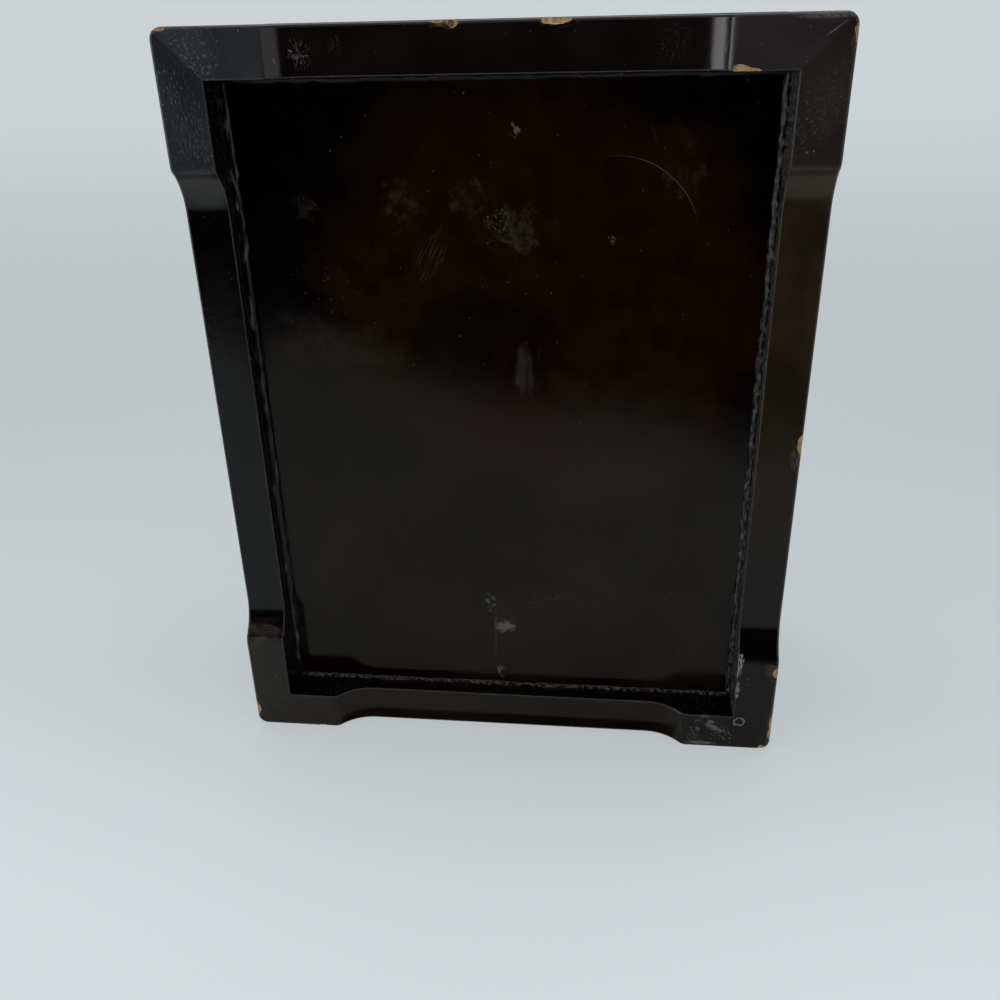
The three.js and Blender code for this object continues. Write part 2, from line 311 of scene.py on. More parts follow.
away = vectors(group, "SUBTRACT", given["Place"], given["Centre"])
scaled = vectors(group, "DIVIDE", turn_flat(group, away, given["Turn"]), given["Size"])
distance = vectors(group, "LENGTH", scaled)
group.links.new(spread(group, distance, 0.45, 1.0, 1.0, 0.0), result["Disc"])
shift = vectors(group, "MULTIPLY", given["Centre"], (997.0, 991.0, 0.0))
own = vectors(group, "ADD", scaled, shift)
grain = add_node(group, "TexNoise", Vector=own, Scale=given["Grain"], Detail=3.0).outputs["Fac"]
uneven = sum_up(group, "SUBTRACT", grain, 0.5)
ragged = sum_up(group, "SUBTRACT", distance, sum_up(group, "MULTIPLY", uneven, 1.8))
fade = spread(group, ragged, 0.35, 1.0, 1.0, 0.0)
line = thin_line(sum_up(group, "SUBTRACT", grain, 0.5))
group.links.new(sum_up(group, "MULTIPLY", fade, line), result["Lines"])
fleck = spread(group, sum_up(group, "ADD", grain, given["Width"]), 0.5, 0.65)
group.links.new(sum_up(group, "MULTIPLY", fade, fleck), result["Patch"])
mist = add_node(
    group, "TexNoise", Vector=own, Scale=given["Grain"], Detail=9.0, Roughness=0.75
).outputs["Fac"]
cloud = spread(group, sum_up(group, "ADD", mist, given["Width"]), 0.42, 0.75)
group.links.new(sum_up(group, "MULTIPLY", fade, cloud), result["Cloud"])
drawn_out = vectors(group, "MULTIPLY", own, (0.5, 4.0, 1.0))
streak = add_node(
    group, "TexNoise", Vector=drawn_out, Scale=given["Grain"], Detail=5.0, Roughness=0.65
).outputs["Fac"]
brushed = spread(group, sum_up(group, "ADD", streak, given["Width"]), 0.48, 0.7)
group.links.new(sum_up(group, "MULTIPLY", fade, brushed), result["Streaks"])
reach = sum_up(group, "MULTIPLY", given["Width"], 5.0)
wobble = sum_up(group, "MULTIPLY", uneven, reach)
rim = sum_up(group, "ADD", sum_up(group, "SUBTRACT", distance, 1.0), wobble)
group.links.new(thin_line(rim), result["Ring"])
sides = add_node(group, "SeparateXYZ", i0=scaled).outputs
angle = sum_up(group, "ARCTAN2", sides[1], sides[0])
turning = sum_up(group, "MULTIPLY", angle, 2.5)
outward = sum_up(group, "MULTIPLY", distance, 0.7)
round_it = add_node(group, "CombineXYZ", i0=turning, i1=outward).outputs[0]
swing = add_node(
    group, "TexNoise", Vector=vectors(group, "ADD", round_it, shift), Scale=given["Grain"],
    Detail=2.0,
).outputs["Fac"]
ray = thin_line(sum_up(group, "SUBTRACT", swing, 0.5))
group.links.new(sum_up(group, "MULTIPLY", fade, ray), result["Rays"])
mark_at = group


def marks_on(tree, place, marks):
    """The strongest of several marks at each point."""
    pale = 0.0
    for kind, centre, size, turn, grain, width, strength in marks:
        outputs = use_group(
            tree, mark_at, Place=place, Centre=centre, Size=size, Turn=turn, Grain=grain,
            Width=width,
        )
        pale = sum_up(tree, "MAXIMUM", pale, sum_up(tree, "MULTIPLY", outputs[kind], strength))
    return pale


def mitred_board(name, axis, reach, outside, thickness, low, high):
    """A board along X or Y on the box's low side, with both ends mitred."""
    inside = outside + thickness
    start = [0, 0, low]
    end = [0, 0, high]
    start[axis] = -reach - 2 * OVERSIZE
    end[axis] = reach + 2 * OVERSIZE
    start[1 - axis] = outside - OVERSIZE
    end[1 - axis] = inside
    board = add_block(name, start, end)
    for way in (-1, 1):
        corner = [0, 0, 0]
        corner[axis] = way * reach
        corner[1 - axis] = outside
        normal = [0, 0, 0]
        normal[axis] = way
        normal[1 - axis] = 1
        saw(board, corner, normal)
    return board


def rounded_block(low, high, corner_radius, top_radius=0.0):
    """A block with rounded upright edges, and rounded upper ones if wanted."""
    block = add_block("shaping_block", low, high)

    def upright(edge):
        a, b = (corner.co for corner in edge.verts)
        return abs(a.z - b.z) > HARDLY

    def upper(edge):
        return min(corner.co.z for corner in edge.verts) > high[2] - HARDLY

    round_edges(block, corner_radius, 6, upright)
    if top_radius:
        round_edges(block, top_radius, 5, upper)
    return block


def ramp_stations():
    """Distance past the foot and height of each line across the S-shaped ramp."""
    turn = math.acos(1 - RAIL_CUT / (RAMP_TOE_RADIUS + RAMP_COVE_RADIUS))
    length = (RAMP_TOE_RADIUS + RAMP_COVE_RADIUS) * math.sin(turn)
    stations = []
    for step in range(TOE_STEPS + 1):
        angle = turn * step / TOE_STEPS
        rise = RAMP_TOE_RADIUS * (1 - math.cos(angle))
        stations.append((RAMP_TOE_RADIUS * math.sin(angle), rise))
    for step in range(COVE_STEPS - 1, -1, -1):
        angle = turn * step / COVE_STEPS
        rise = RAIL_CUT - RAMP_COVE_RADIUS * (1 - math.cos(angle))
        stations.append((length - RAMP_COVE_RADIUS * math.sin(angle), rise))
    return stations


def cut_between_feet(board, axis, half_length, foot):
    """Raises the underside between the feet, with a ramp at both ends of the cut."""
    risen = 0
    for past_foot, rise in ramp_stations():
        distance = half_length - foot - past_foot
        for way in (-1, 1):
            point = [0, 0, 0]
            point[axis] = way * distance
            normal = [0, 0, 0]
            normal[axis] = 1
            saw(board, point, normal, drop=False)

        def on_line(corner):
            return abs(abs(corner.co[axis]) - distance) < HARDLY and corner.co.z < RAIL_CUT

        if rise > risen:
            edit(board, "VERT", on_line)
            bpy.ops.transform.translate(value=(0, 0, rise - risen))
            close()
            risen = rise


base_low = Vector((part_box("base_rail_left")[0].x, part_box("base_rail_front")[0].y, 0))
base_high = Vector((-base_low.x, -base_low.y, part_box("base_rail_front")[1].z))
rail_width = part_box("base_rail_front")[1].y - base_low.y
rails = {}
for name, axis, foot in (("front", 0, LONG_FOOT), ("left", 1, SHORT_FOOT)):
    rail = mitred_board(
        "rail_" + name,
        axis,
        -base_low[axis],
        base_low[1 - axis],
        rail_width,
        0,
        base_high.z + OVERSIZE,
    )
    cut_between_feet(rail, axis, -base_low[axis], foot)
    shaping = rounded_block(
        (base_low.x, base_low.y, -OVERSIZE), base_high, BASE_CORNER, RAIL_UPPER_EDGE
    )
    combine(rail, shaping, "INTERSECT")

    def under(normal):
        return normal.z < -0.3

    def outer(normal, across_axis=1 - axis):
        return normal[across_axis] < -0.5 and abs(normal.z) < 0.1

    def inner(normal, across_axis=1 - axis):
        return normal[across_axis] > 0.9 and abs(normal.z) < 0.1

    round_edges(rail, RAIL_OUTER_EDGE, 4, lambda edge: across(edge, under, outer))
    round_edges(rail, RAIL_INNER_EDGE, 3, lambda edge: across(edge, under, inner))
    rails[name] = rail

rails["back"] = half_turn_copy(rails["front"], "rail_back")
rails["right"] = half_turn_copy(rails["left"], "rail_right")

WOOD_PALE = (0.47, 0.32, 0.17, 1)
WOOD_DARK = (0.27, 0.17, 0.085, 1)
WOOD_STAINED = (0.075, 0.048, 0.032, 1)
LACQUER_BLACK = (0.0007, 0.0005, 0.0007, 1)
LACQUER_RED_BLACK = (0.0048, 0.0026, 0.0024, 1)
LACQUER_WARM = (0.0040, 0.0024, 0.0011, 1)
LACQUER_RUSSET = (0.0080, 0.0050, 0.0027, 1)
LACQUER_BROWN = (0.0170, 0.0118, 0.0070, 1)
# The rubbed feet tones are partly real rubbing and partly painted light: lighter towards -Y, bluer
# at the +X -Y corner as a painted reflection of a bluish light, and darkest at the -X +Y corner as
# painted shade.
RUBBED_PAINTED_BLUE_REFLECTION = (0.0062, 0.0098, 0.0142, 1)
RUBBED_PAINTED_BLUE_REFLECTION_BRIGHT = (0.0175, 0.0200, 0.0245, 1)
RUBBED_WARM = (0.0187, 0.0155, 0.0145, 1)
RUBBED_BROWN = (0.0132, 0.0098, 0.0090, 1)
RUBBED_GREY_PAINTED_LIGHT = (0.0088, 0.0074, 0.0054, 1)
RUBBED_PAINTED_SHADE = (0.0012, 0.0009, 0.0009, 1)
WORN_THROUGH = (0.045, 0.030, 0.020, 1)
PRIMER_BROWN = (0.085, 0.052, 0.030, 1)
SCUFF_GREY = (0.28, 0.28, 0.275, 1)
GRAIN_GREY = (0.160, 0.156, 0.152, 1)
EDGE_RUBBED_AND_PAINTED_HIGHLIGHT = (0.050, 0.048, 0.047, 1)
FOOT_DEPTH = 0.0009
WARM_GLOSS = (1.0, 0.92, 0.84, 1)
board_tones = {
    "front": (LACQUER_BLACK, LACQUER_BLACK),
    "back": (LACQUER_BLACK, LACQUER_BROWN),
    "left": (LACQUER_RUSSET, LACQUER_WARM),
    "right": (LACQUER_RED_BLACK, LACQUER_RED_BLACK),
}
# Each board's feet run from one tone to the other along it; this change is painted light and shade
# over the real rubbing.
foot_tones_with_painted_light = {
    "front": (RUBBED_GREY_PAINTED_LIGHT, RUBBED_PAINTED_BLUE_REFLECTION),
    "back": (RUBBED_PAINTED_SHADE, RUBBED_BROWN),
    "left": (RUBBED_GREY_PAINTED_LIGHT, RUBBED_PAINTED_SHADE),
    "right": (RUBBED_PAINTED_BLUE_REFLECTION_BRIGHT, RUBBED_WARM),
}
inner_grain = {"front": 0.13, "back": 0.95, "left": 0.06, "right": 0.15}

bare_wood, tree, shader, place = new_material("bare_wood")
along = vectors(tree, "MULTIPLY", place, (260, 1500, 1500))
fibres = add_node(tree, "TexNoise", Vector=along, Scale=1.0, Detail=5.0).outputs["Fac"]
tint = mix_colour(tree, spread(tree, fibres, 0.38, 0.62), WOOD_PALE, WOOD_DARK)
stained_chip = ("Patch", (0.0944, -0.0092, 0.0045), (0.0014, 0.0012, 0.004), 0.3, 2.0, 0.3, 0.9)
tint = mix_colour(tree, marks_on(tree, place, [stained_chip]), tint, WOOD_STAINED)
tree.links.new(tint, shader.inputs["Base Color"])
shader.inputs["Roughness"].default_value = 0.75
shader.inputs["Specular IOR Level"].default_value = 0.2
rough = add_node(tree, "Bump", Height=fibres, Strength=0.6, Distance=0.0003).outputs[0]
tree.links.new(rough, shader.inputs["Normal"])


def base_lacquer(name, edges, inward):
    """Old lacquer on a base board: dull and scratched on the feet, with marks of its own, painted
    light and shade in the feet's tones, and painted shade on the inner side.
    """
    material, tree, shader, place = new_material("base_lacquer_" + name)
    facing = tree.nodes.new("ShaderNodeTexCoord").outputs["Normal"]
    grains = add_node(tree, "TexNoise", Vector=place, Scale=1300.0, Detail=4.0).outputs["Fac"]
    inner_side = spread(tree, vectors(tree, "DOT_PRODUCT", facing, inward), 0.75, 0.95)
    grainy = sum_up(tree, "MULTIPLY", inner_side, spread(tree, grains, 0.5, 0.66))
    axes = add_node(tree, "SeparateXYZ", i0=place).outputs
    lengthwise = 0 if name in ("front", "back") else 1
    along = spread(tree, axes[lengthwise], 0.5 * base_low.x, -0.4 * base_low.x)
    cloud = add_node(tree, "TexNoise", Vector=place, Scale=90.0, Detail=5.0).outputs["Fac"]
    cloudy = spread(tree, cloud, 0.3, 0.7, 0.75, 1.3)
    lacquer = mix_colour(tree, along, *board_tones[name])
    # Rubbed foot tone, with painted light and shade along the board.
    rubbed = mix_colour(tree, along, *foot_tones_with_painted_light[name])
    on_foot = spread(tree, axes[2], 0.0002, FOOT_DEPTH, 1.0, 0.0)
    colour = mix_colour(tree, on_foot, lacquer, rubbed)
    shade = add_node(tree, "CombineXYZ", i0=cloudy, i1=cloudy, i2=cloudy).outputs[0]
    settings = {"blend_type": "MULTIPLY"}
    colour = add_node(tree, "MixRGB", settings, Fac=1.0, Color1=colour, Color2=shade).outputs[0]
    scratches = 0.0
    for turn, density, length, share in ((0.5, 900.0, 60.0, 0.1), (2.1, 1200.0, 90.0, 0.08)):
        lines = use_group(
            tree, fine_scratches, Place=place, Turn=turn, Density=density, Length=length,
            Share=share,
        )["Mask"]
        scratches = sum_up(tree, "ADD", scratches, lines, True)
    specks = use_group(
        tree, dust_specks, Place=place, Density=620.0, Size=0.16, Share=0.35
    )["Mask"]
    scratches = sum_up(tree, "ADD", scratches, specks, True)
    amount = spread(tree, on_foot, 0.0, 1.0, 0.05, 0.26)
    pale = sum_up(tree, "MULTIPLY", scratches, amount)
    pale = sum_up(tree, "MAXIMUM", pale, marks_on(tree, place, base_marks[name]))
    bare = marks_on(tree, place, base_bare_patches[name])
    wear = use_group(
        tree, worn_edge, Place=place, Facing=facing, Edges=edges, Grain=420.0, Wear=0.02
    )
    worn = wear["Mask"]
    # The inner sides, facing into the hollow under the box, are painted near black as shade.
    colour = mix_colour(tree, sum_up(tree, "MULTIPLY", inner_side, 0.85), colour, LACQUER_BLACK)
    shown = sum_up(tree, "MULTIPLY", grainy, inner_grain[name])
    colour = mix_colour(tree, shown, colour, GRAIN_GREY)
    # A pale line along every edge: partly rubbed lacquer, partly a painted highlight.
    colour = mix_colour(tree, sum_up(tree, "MULTIPLY", wear["Edge"], 0.45), colour, EDGE_RUBBED_AND_PAINTED_HIGHLIGHT)
    colour = mix_colour(tree, worn, colour, WORN_THROUGH)
    colour = mix_colour(tree, bare, colour, PRIMER_BROWN)
    colour = mix_colour(tree, pale, colour, SCUFF_GREY)
    tree.links.new(colour, shader.inputs["Base Color"])
    gloss = spread(tree, on_foot, 0.0, 1.0, 0.14, 0.4)
    gloss = sum_up(tree, "ADD", gloss, spread(tree, cloud, 0.3, 0.7, -0.03, 0.05))
    rough_side = sum_up(tree, "MULTIPLY", inner_side, inner_grain[name])
    dull = sum_up(tree, "MAXIMUM", sum_up(tree, "MAXIMUM", pale, bare), rough_side)
    gloss = sum_up(tree, "MAXIMUM", gloss, sum_up(tree, "MULTIPLY", dull, 0.6))
    tree.links.new(gloss, shader.inputs["Roughness"])
    shader.inputs["Specular IOR Level"].default_value = 0.28
    if name in ("back", "left"):
        shader.inputs["Specular Tint"].default_value = WARM_GLOSS
    fine = add_node(tree, "TexNoise", Vector=place, Scale=700.0, Detail=3.0).outputs["Fac"]
    height = sum_up(tree, "SUBTRACT", fine, worn)
    height = sum_up(tree, "ADD", height, sum_up(tree, "MULTIPLY", grainy, 4.0))
    bump = add_node(tree, "Bump", Height=height, Strength=0.12, Distance=0.0002).outputs[0]
    tree.links.new(bump, shader.inputs["Normal"])
    return material


OVAL_SCUFF = ("Ring", (-0.0855, 0.0663, 0.0), (0.0012, 0.0015, 0.002), 0.3, 1.1, 0.22, 0.45)
base_marks = {
    "front": [
        ("Patch", (-0.0865, -0.0735, 0.0), (0.0040, 0.0012, 0.002), 0.0, 4.0, -0.05, 0.15),
        ("Patch", (0.0760, -0.0700, 0.0), (0.0150, 0.0060, 0.002), 0.2, 16.0, -0.06, 0.28),
        ("Disc", (0.0600, -0.0700, 0.0025), (0.0070, 0.0090, 0.005), 0.0, 1.0, 0.0, 0.06),
        ("Cloud", (-0.0628, -0.0700, 0.0015), (0.0034, 0.0090, 0.003), 0.0, 3.0, 0.12, 0.08),
        ("Lines", (0.0760, -0.0700, 0.0), (0.0120, 0.0060, 0.002), 0.3, 5.5, 0.010, 0.14),
    ],
    "back": [
        OVAL_SCUFF,
        ("Patch", (-0.0655, 0.0651, 0.0), (0.0050, 0.0009, 0.002), -0.06, 2.5, 0.08, 0.9),
        ("Patch", (-0.0745, 0.0650, 0.0), (0.0030, 0.0008, 0.002), 0.0, 2.5, 0.06, 0.7),
        ("Lines", (-0.0069, 0.0741, RAIL_CUT), (0.0036, 0.0018, 0.002), 0.3, 2.5, 0.04, 0.25),
        ("Patch", (0.0760, 0.0700, 0.0), (0.0150, 0.0060, 0.002), 2.4, 16.0, -0.08, 0.22),
        ("Lines", (0.0760, 0.0700, 0.0), (0.0120, 0.0060, 0.002), 2.0, 5.0, 0.009, 0.12),
    ],
    "left": [
        OVAL_SCUFF,
        ("Patch", (-0.0882, 0.0598, 0.0), (0.0034, 0.0011, 0.002), 1.05, 1.2, 0.3, 0.28),
        ("Patch", (-0.0868, 0.0578, 0.0), (0.0017, 0.0009, 0.002), 0.2, 1.2, 0.3, 0.26),
        ("Patch", (-0.0859, 0.0587, 0.0), (0.0007, 0.0014, 0.002), -0.3, 1.2, 0.3, 0.26),
        ("Patch", (-0.0886, 0.0549, 0.0), (0.0012, 0.0007, 0.002), 0.3, 2.0, 0.1, 0.3),
        ("Patch", (-0.0901, 0.0538, 0.0), (0.0018, 0.0006, 0.002), 0.5, 2.0, 0.04, 0.18),
        ("Patch", (-0.0857, 0.0549, 0.0), (0.0005, 0.0009, 0.002), 0.3, 2.0, 0.1, 0.28),
        ("Patch", (-0.0843, 0.0568, 0.0), (0.0004, 0.0024, 0.002), 0.0, 2.5, 0.0, 0.25),
        ("Patch", (-0.0908, 0.0616, 0.0), (0.0032, 0.0040, 0.002), 0.5, 5.0, -0.03, 0.34),
        ("Patch", (-0.0936, 0.0560, 0.0), (0.0008, 0.0052, 0.002), 0.0, 3.0, 0.12, 0.4),
        ("Cloud", (-0.0918, 0.0538, 0.0), (0.0018, 0.0022, 0.002), 0.0, 2.0, 0.06, 0.12),
        ("Lines", (-0.0870, 0.0570, 0.0), (0.0050, 0.0080, 0.002), 0.5, 1.6, 0.012, 0.08),
    ],
    "right": [
        ("Rays", (0.0889, -0.0436, RAIL_CUT), (0.0034, 0.0030, 0.002), 0.4, 1.2, 0.022, 0.3),
        ("Rays", (0.0905, -0.0351, RAIL_CUT), (0.0022, 0.0022, 0.002), 1.1, 1.2, 0.03, 0.07),
        ("Patch", (0.0896, -0.0452, RAIL_CUT), (0.0008, 0.0003, 0.002), 0.8, 1.2, 0.3, 0.5),
        ("Patch", (0.0883, -0.0443, RAIL_CUT), (0.0003, 0.0017, 0.002), 0.15, 1.2, 0.3, 0.13),
        ("Patch", (0.0901, -0.0440, RAIL_CUT), (0.0022, 0.0002, 0.002), 0.6, 1.2, 0.3, 0.08),
        ("Patch", (0.0876, -0.0486, 0.0035), (0.0007, 0.0005, 0.002), 0.3, 2.0, 0.2, 0.6),
        ("Lines", (0.0893, 0.0386, 0.0040), (0.0050, 0.0060, 0.004), 0.9, 4.0, 0.012, 0.07),
        ("Disc", (0.0918, 0.0709, 0.0), (0.0030, 0.00018, 0.002), -0.95, 1.0, 0.0, 0.3),
        ("Patch", (0.0890, -0.0660, 0.0), (0.0060, 0.0075, 0.002), 1.2, 9.0, -0.04, 0.3),
        ("Patch", (0.0942, 0.0690, 0.0), (0.0006, 0.0070, 0.002), 0.0, 9.0, 0.04, 0.42),
        ("Lines", (0.0885, -0.0665, 0.0), (0.0065, 0.0070, 0.002), 1.2, 4.5, 0.012, 0.15),
    ],
}
base_bare_patches = {
    "front": [
        ("Patch", (-0.0893, -0.0748, 0.0), (0.0032, 0.0010, 0.002), 0.0, 2.0, 0.05, 0.7),
        ("Cloud", (-0.0622, -0.0700, 0.0018), (0.0048, 0.0090, 0.004), 0.0, 2.4, 0.12, 0.12),
    ],
    "back": [
        ("Cloud", (-0.0677, 0.0736, 0.0), (0.0026, 0.0021, 0.003), 0.3, 4.0, 0.05, 1.0),
        ("Patch", (-0.0030, 0.0744, RAIL_CUT), (0.0042, 0.0014, 0.002), 0.0, 2.0, 0.02, 0.7),
        ("Patch", (-0.0870, 0.0748, 0.0), (0.0070, 0.0009, 0.002), 0.0, 3.0, 0.05, 0.8),
        ("Patch", (0.0905, 0.0750, 0.0), (0.0034, 0.0010, 0.002), 0.0, 2.0, 0.05, 0.7),
    ],
    "left": [("Patch", (-0.0943, -0.0550, 0.0), (0.0008, 0.0030, 0.002), 0.0, 2.0, 0.05, 0.7)],
    "right": [
        ("Cloud", (0.0945, -0.0100, RAIL_CUT), (0.0014, 0.0042, 0.002), 0.0, 1.5, 0.1, 1.0),
        ("Patch", (0.0944, 0.0136, RAIL_CUT), (0.0013, 0.0052, 0.002), 0.0, 2.0, 0.02, 0.8),
        ("Patch", (0.0941, -0.0728, 0.0), (0.0009, 0.0026, 0.002), 0.0, 2.0, 0.05, 0.8),
        ("Cloud", (0.0945, 0.0700, 0.0), (0.0011, 0.0068, 0.002), 0.0, 2.0, 0.15, 0.45),
    ],
}
EDGES_ALONG_X = (0.0, 2.0, 1.0)
EDGES_ALONG_Y = (2.0, 0.0, 1.0)
inward = {"front": (0, 1, 0), "back": (0, -1, 0), "left": (1, 0, 0), "right": (-1, 0, 0)}
for name, rail in rails.items():
    edges = EDGES_ALONG_X if name in ("front", "back") else EDGES_ALONG_Y
    dress(rail, base_lacquer(name, edges, inward[name]))


def chip(rail, place, half_size, turn=0.0, raggedness=1.0):
    """Knocks a chip with a broken face out of a board, down to bare wood."""
    bpy.ops.object.select_all(action="DESELECT")
    bpy.ops.mesh.primitive_ico_sphere_add(subdivisions=4, radius=1, location=place)
    flake = bpy.context.object
    flake.scale = half_size
    flake.rotation_euler.z = turn
    bpy.ops.object.transform_apply(location=False, rotation=True, scale=True)
    for number, (size, strength) in enumerate(((0.0022, 0.0011), (0.0006, 0.0004))):
        grain = bpy.data.textures.new("flake_grain_" + str(number), "CLOUDS")
        grain.noise_scale = size
        rough = flake.modifiers.new("grain", "DISPLACE")
        rough.texture = grain
        rough.texture_coords = "GLOBAL"
        rough.strength = strength * raggedness
        rough.mid_level = 0.5
        bpy.context.view_layer.objects.active = flake
        bpy.ops.object.modifier_apply(modifier=rough.name)
    bpy.ops.object.transform_apply(location=True, rotation=True, scale=True)
    dress(flake, bare_wood)
    combine(rail, flake, "DIFFERENCE")


chips = [
    ("right", (0.0951, -0.0124, 0.0050), (0.0006, 0.0030, 0.0006), 0.0, 0.6),
    ("right", (0.0948, -0.0090, 0.0049), (0.0013, 0.0015, 0.0009), 0.3, 0.7),
    ("right", (0.0950, 0.0137, 0.0049), (0.0014, 0.0036, 0.0013)),
    ("right", (0.0841, 0.0528, -0.0002), (0.0013, 0.0022, 0.0010), 0.16, 0.4),
    ("right", (0.0839, 0.0550, -0.0002), (0.0008, 0.0024, 0.0008), 0.16, 0.3),
    ("right", (0.0946, -0.0729, 0.0001), (0.0005, 0.0014, 0.0005), 0.0, 0.5),
    ("back", (0.0908, 0.0754, 0.0000), (0.0021, 0.0007, 0.0006)),
    ("back", (-0.0022, 0.0754, 0.0050), (0.0029, 0.0013, 0.0011)),
    ("back", (-0.0682, 0.0752, -0.0002), (0.0017, 0.0009, 0.0008)),
    ("left", (-0.0950, 0.0732, 0.0000), (0.0018, 0.0012, 0.0007)),
    ("back", (-0.0870, 0.0755, 0.0000), (0.0050, 0.0008, 0.0007)),
    ("front", (-0.0893, -0.0754, 0.0000), (0.0026, 0.0009, 0.0008)),
    ("left", (-0.0950, -0.0553, 0.0000), (0.0008, 0.0019, 0.0007)),
]
for name, *shape in chips:
    chip(rails[name], *shape)

for name, rail in rails.items():
    smooth(rail)
    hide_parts("base_rail_" + name)
    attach(rail, "box")

# The bottom board lies on the base boards and carries the walls. Its underside is the glossy
# panel inside the base, and a raised field on top is the floor of the box, framed by a rebate.
# It is lacquered black below and vermilion above.
BOARD_EDGE = 0.0004
BODY_CORNER = 0.0016

board_low, board_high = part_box("bottom_board")
wall_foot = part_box("wall_front")[0].z
lining_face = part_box("lining_front")[1].y
field_margin = 0.0003

bottom_board = add_block(
    "bottom_board_lacquered", board_low, (board_high.x, board_high.y, wall_foot)
)


def upright(edge):
    a, b = (corner.co for corner in edge.verts)
    return abs(a.z - b.z) > HARDLY


round_edges(bottom_board, BODY_CORNER, 6, upright)
floor_half_width = -lining_face - field_margin
floor_half_length = board_high.x - (board_high.y - floor_half_width)
field = add_block(
    "field",
    (-floor_half_length, -floor_half_width, board_low.z + BOARD_EDGE),
    (floor_half_length, floor_half_width, board_high.z),
)
round_edges(field, BOARD_EDGE, 3, lambda edge: min(v.co.z for v in edge.verts) > wall_foot)
combine(bottom_board, field, "UNION")

PANEL_BLACK = (0.0003, 0.0001, 0.0001, 1)
PANEL_RED = (0.0086, 0.0020, 0.0004, 1)
PANEL_OLIVE = (0.0068, 0.0030, 0.0007, 1)
DRIED_FILM = (0.032, 0.025, 0.017, 1)
DRIED_SPOT = (0.13, 0.125, 0.11, 1)
PANEL_MIDDLE = (0.029, 0.0145, 0.0)
PANEL_MIDDLE_SIZE = (0.056, 0.058, 1.0)
PANEL_DARK_SPOT = (0.021, -0.004, 0.0105)
PANEL_DARK_SIZE = (0.017, 0.026, 1.0)

panel_lacquer, tree, shader, place = new_material("panel_lacquer")
cloud = add_node(tree, "TexNoise", Vector=place, Scale=34.0, Detail=4.0).outputs["Fac"]
mottle = add_node(tree, "TexNoise", Vector=place, Scale=170.0, Detail=5.0).outputs["Fac"]
middle = vectors(tree, "DIVIDE", vectors(tree, "SUBTRACT", place, PANEL_MIDDLE), PANEL_MIDDLE_SIZE)
uneven = spread(tree, cloud, 0.3, 0.7, 0.2, -0.2)
reach = sum_up(tree, "ADD", vectors(tree, "LENGTH", middle), uneven)
brown = mix_colour(tree, spread(tree, cloud, 0.42, 0.6), PANEL_RED, PANEL_OLIVE)
lengthwise = add_node(tree, "SeparateXYZ", i0=place).outputs[0]
lowest = spread(tree, lengthwise, -0.03, 0.02, 0.22, 0.06)
thin = spread(tree, reach, 0.72, 1.1, 1.0, lowest)
dark_spot = use_group(tree, mark_at, Place=place, Centre=PANEL_DARK_SPOT, Size=PANEL_DARK_SIZE)
thin = sum_up(tree, "MULTIPLY", thin, spread(tree, dark_spot["Disc"], 0.0, 1.0, 1.0, 0.4))
thin = sum_up(tree, "MULTIPLY", thin, spread(tree, mottle, 0.25, 0.6, 0.55, 1.0))
colour = mix_colour(tree, thin, PANEL_BLACK, brown)

panel_films = [
    ("Cloud", (0.0495, 0.0045, 0.0105), (0.0072, 0.0058, 0.003), 0.4, 2.0, 0.05, 0.6),
    ("Streaks", (0.0490, 0.0000, 0.0105), (0.0060, 0.0052, 0.003), 1.3, 2.0, 0.02, 0.5),
    ("Streaks", (0.0428, -0.0174, 0.0105), (0.0092, 0.0042, 0.003), -0.5, 2.6, 0.02, 0.55),
    ("Cloud", (0.0548, -0.0475, 0.0105), (0.0038, 0.0036, 0.003), 0.0, 1.6, 0.06, 0.35),
    ("Cloud", (0.0554, -0.0235, 0.0105), (0.0062, 0.0056, 0.003), 0.9, 2.2, 0.03, 0.45),
    ("Cloud", (0.0570, -0.0076, 0.0105), (0.0056, 0.0056, 0.003), 0.5, 2.0, 0.03, 0.4),
    ("Cloud", (0.0608, 0.0432, 0.0105), (0.0056, 0.0054, 0.003), 0.0, 1.8, 0.04, 0.35),
    ("Cloud", (0.0705, 0.0419, 0.0105), (0.0052, 0.0052, 0.003), 0.0, 1.4, 0.04, 0.2),
    ("Cloud", (0.0140, 0.0056, 0.0105), (0.0080, 0.0040, 0.003), 0.0, 1.2, 0.1, 0.4),
    ("Patch", (0.0355, -0.0440, 0.0105), (0.0085, 0.0080, 0.003), 0.7, 5.5, -0.08, 0.4),
    ("Cloud", (0.0190, -0.0450, 0.0105), (0.0130, 0.0200, 0.003), 0.0, 0.7, 0.06, 0.3),
    ("Cloud", (-0.0625, -0.0025, 0.0105), (0.0130, 0.0070, 0.003), 0.3, 1.2, 0.08, 0.25),
    ("Patch", (-0.0540, 0.0106, 0.0105), (0.0040, 0.0065, 0.003), 0.3, 4.0, -0.05, 0.6),
]
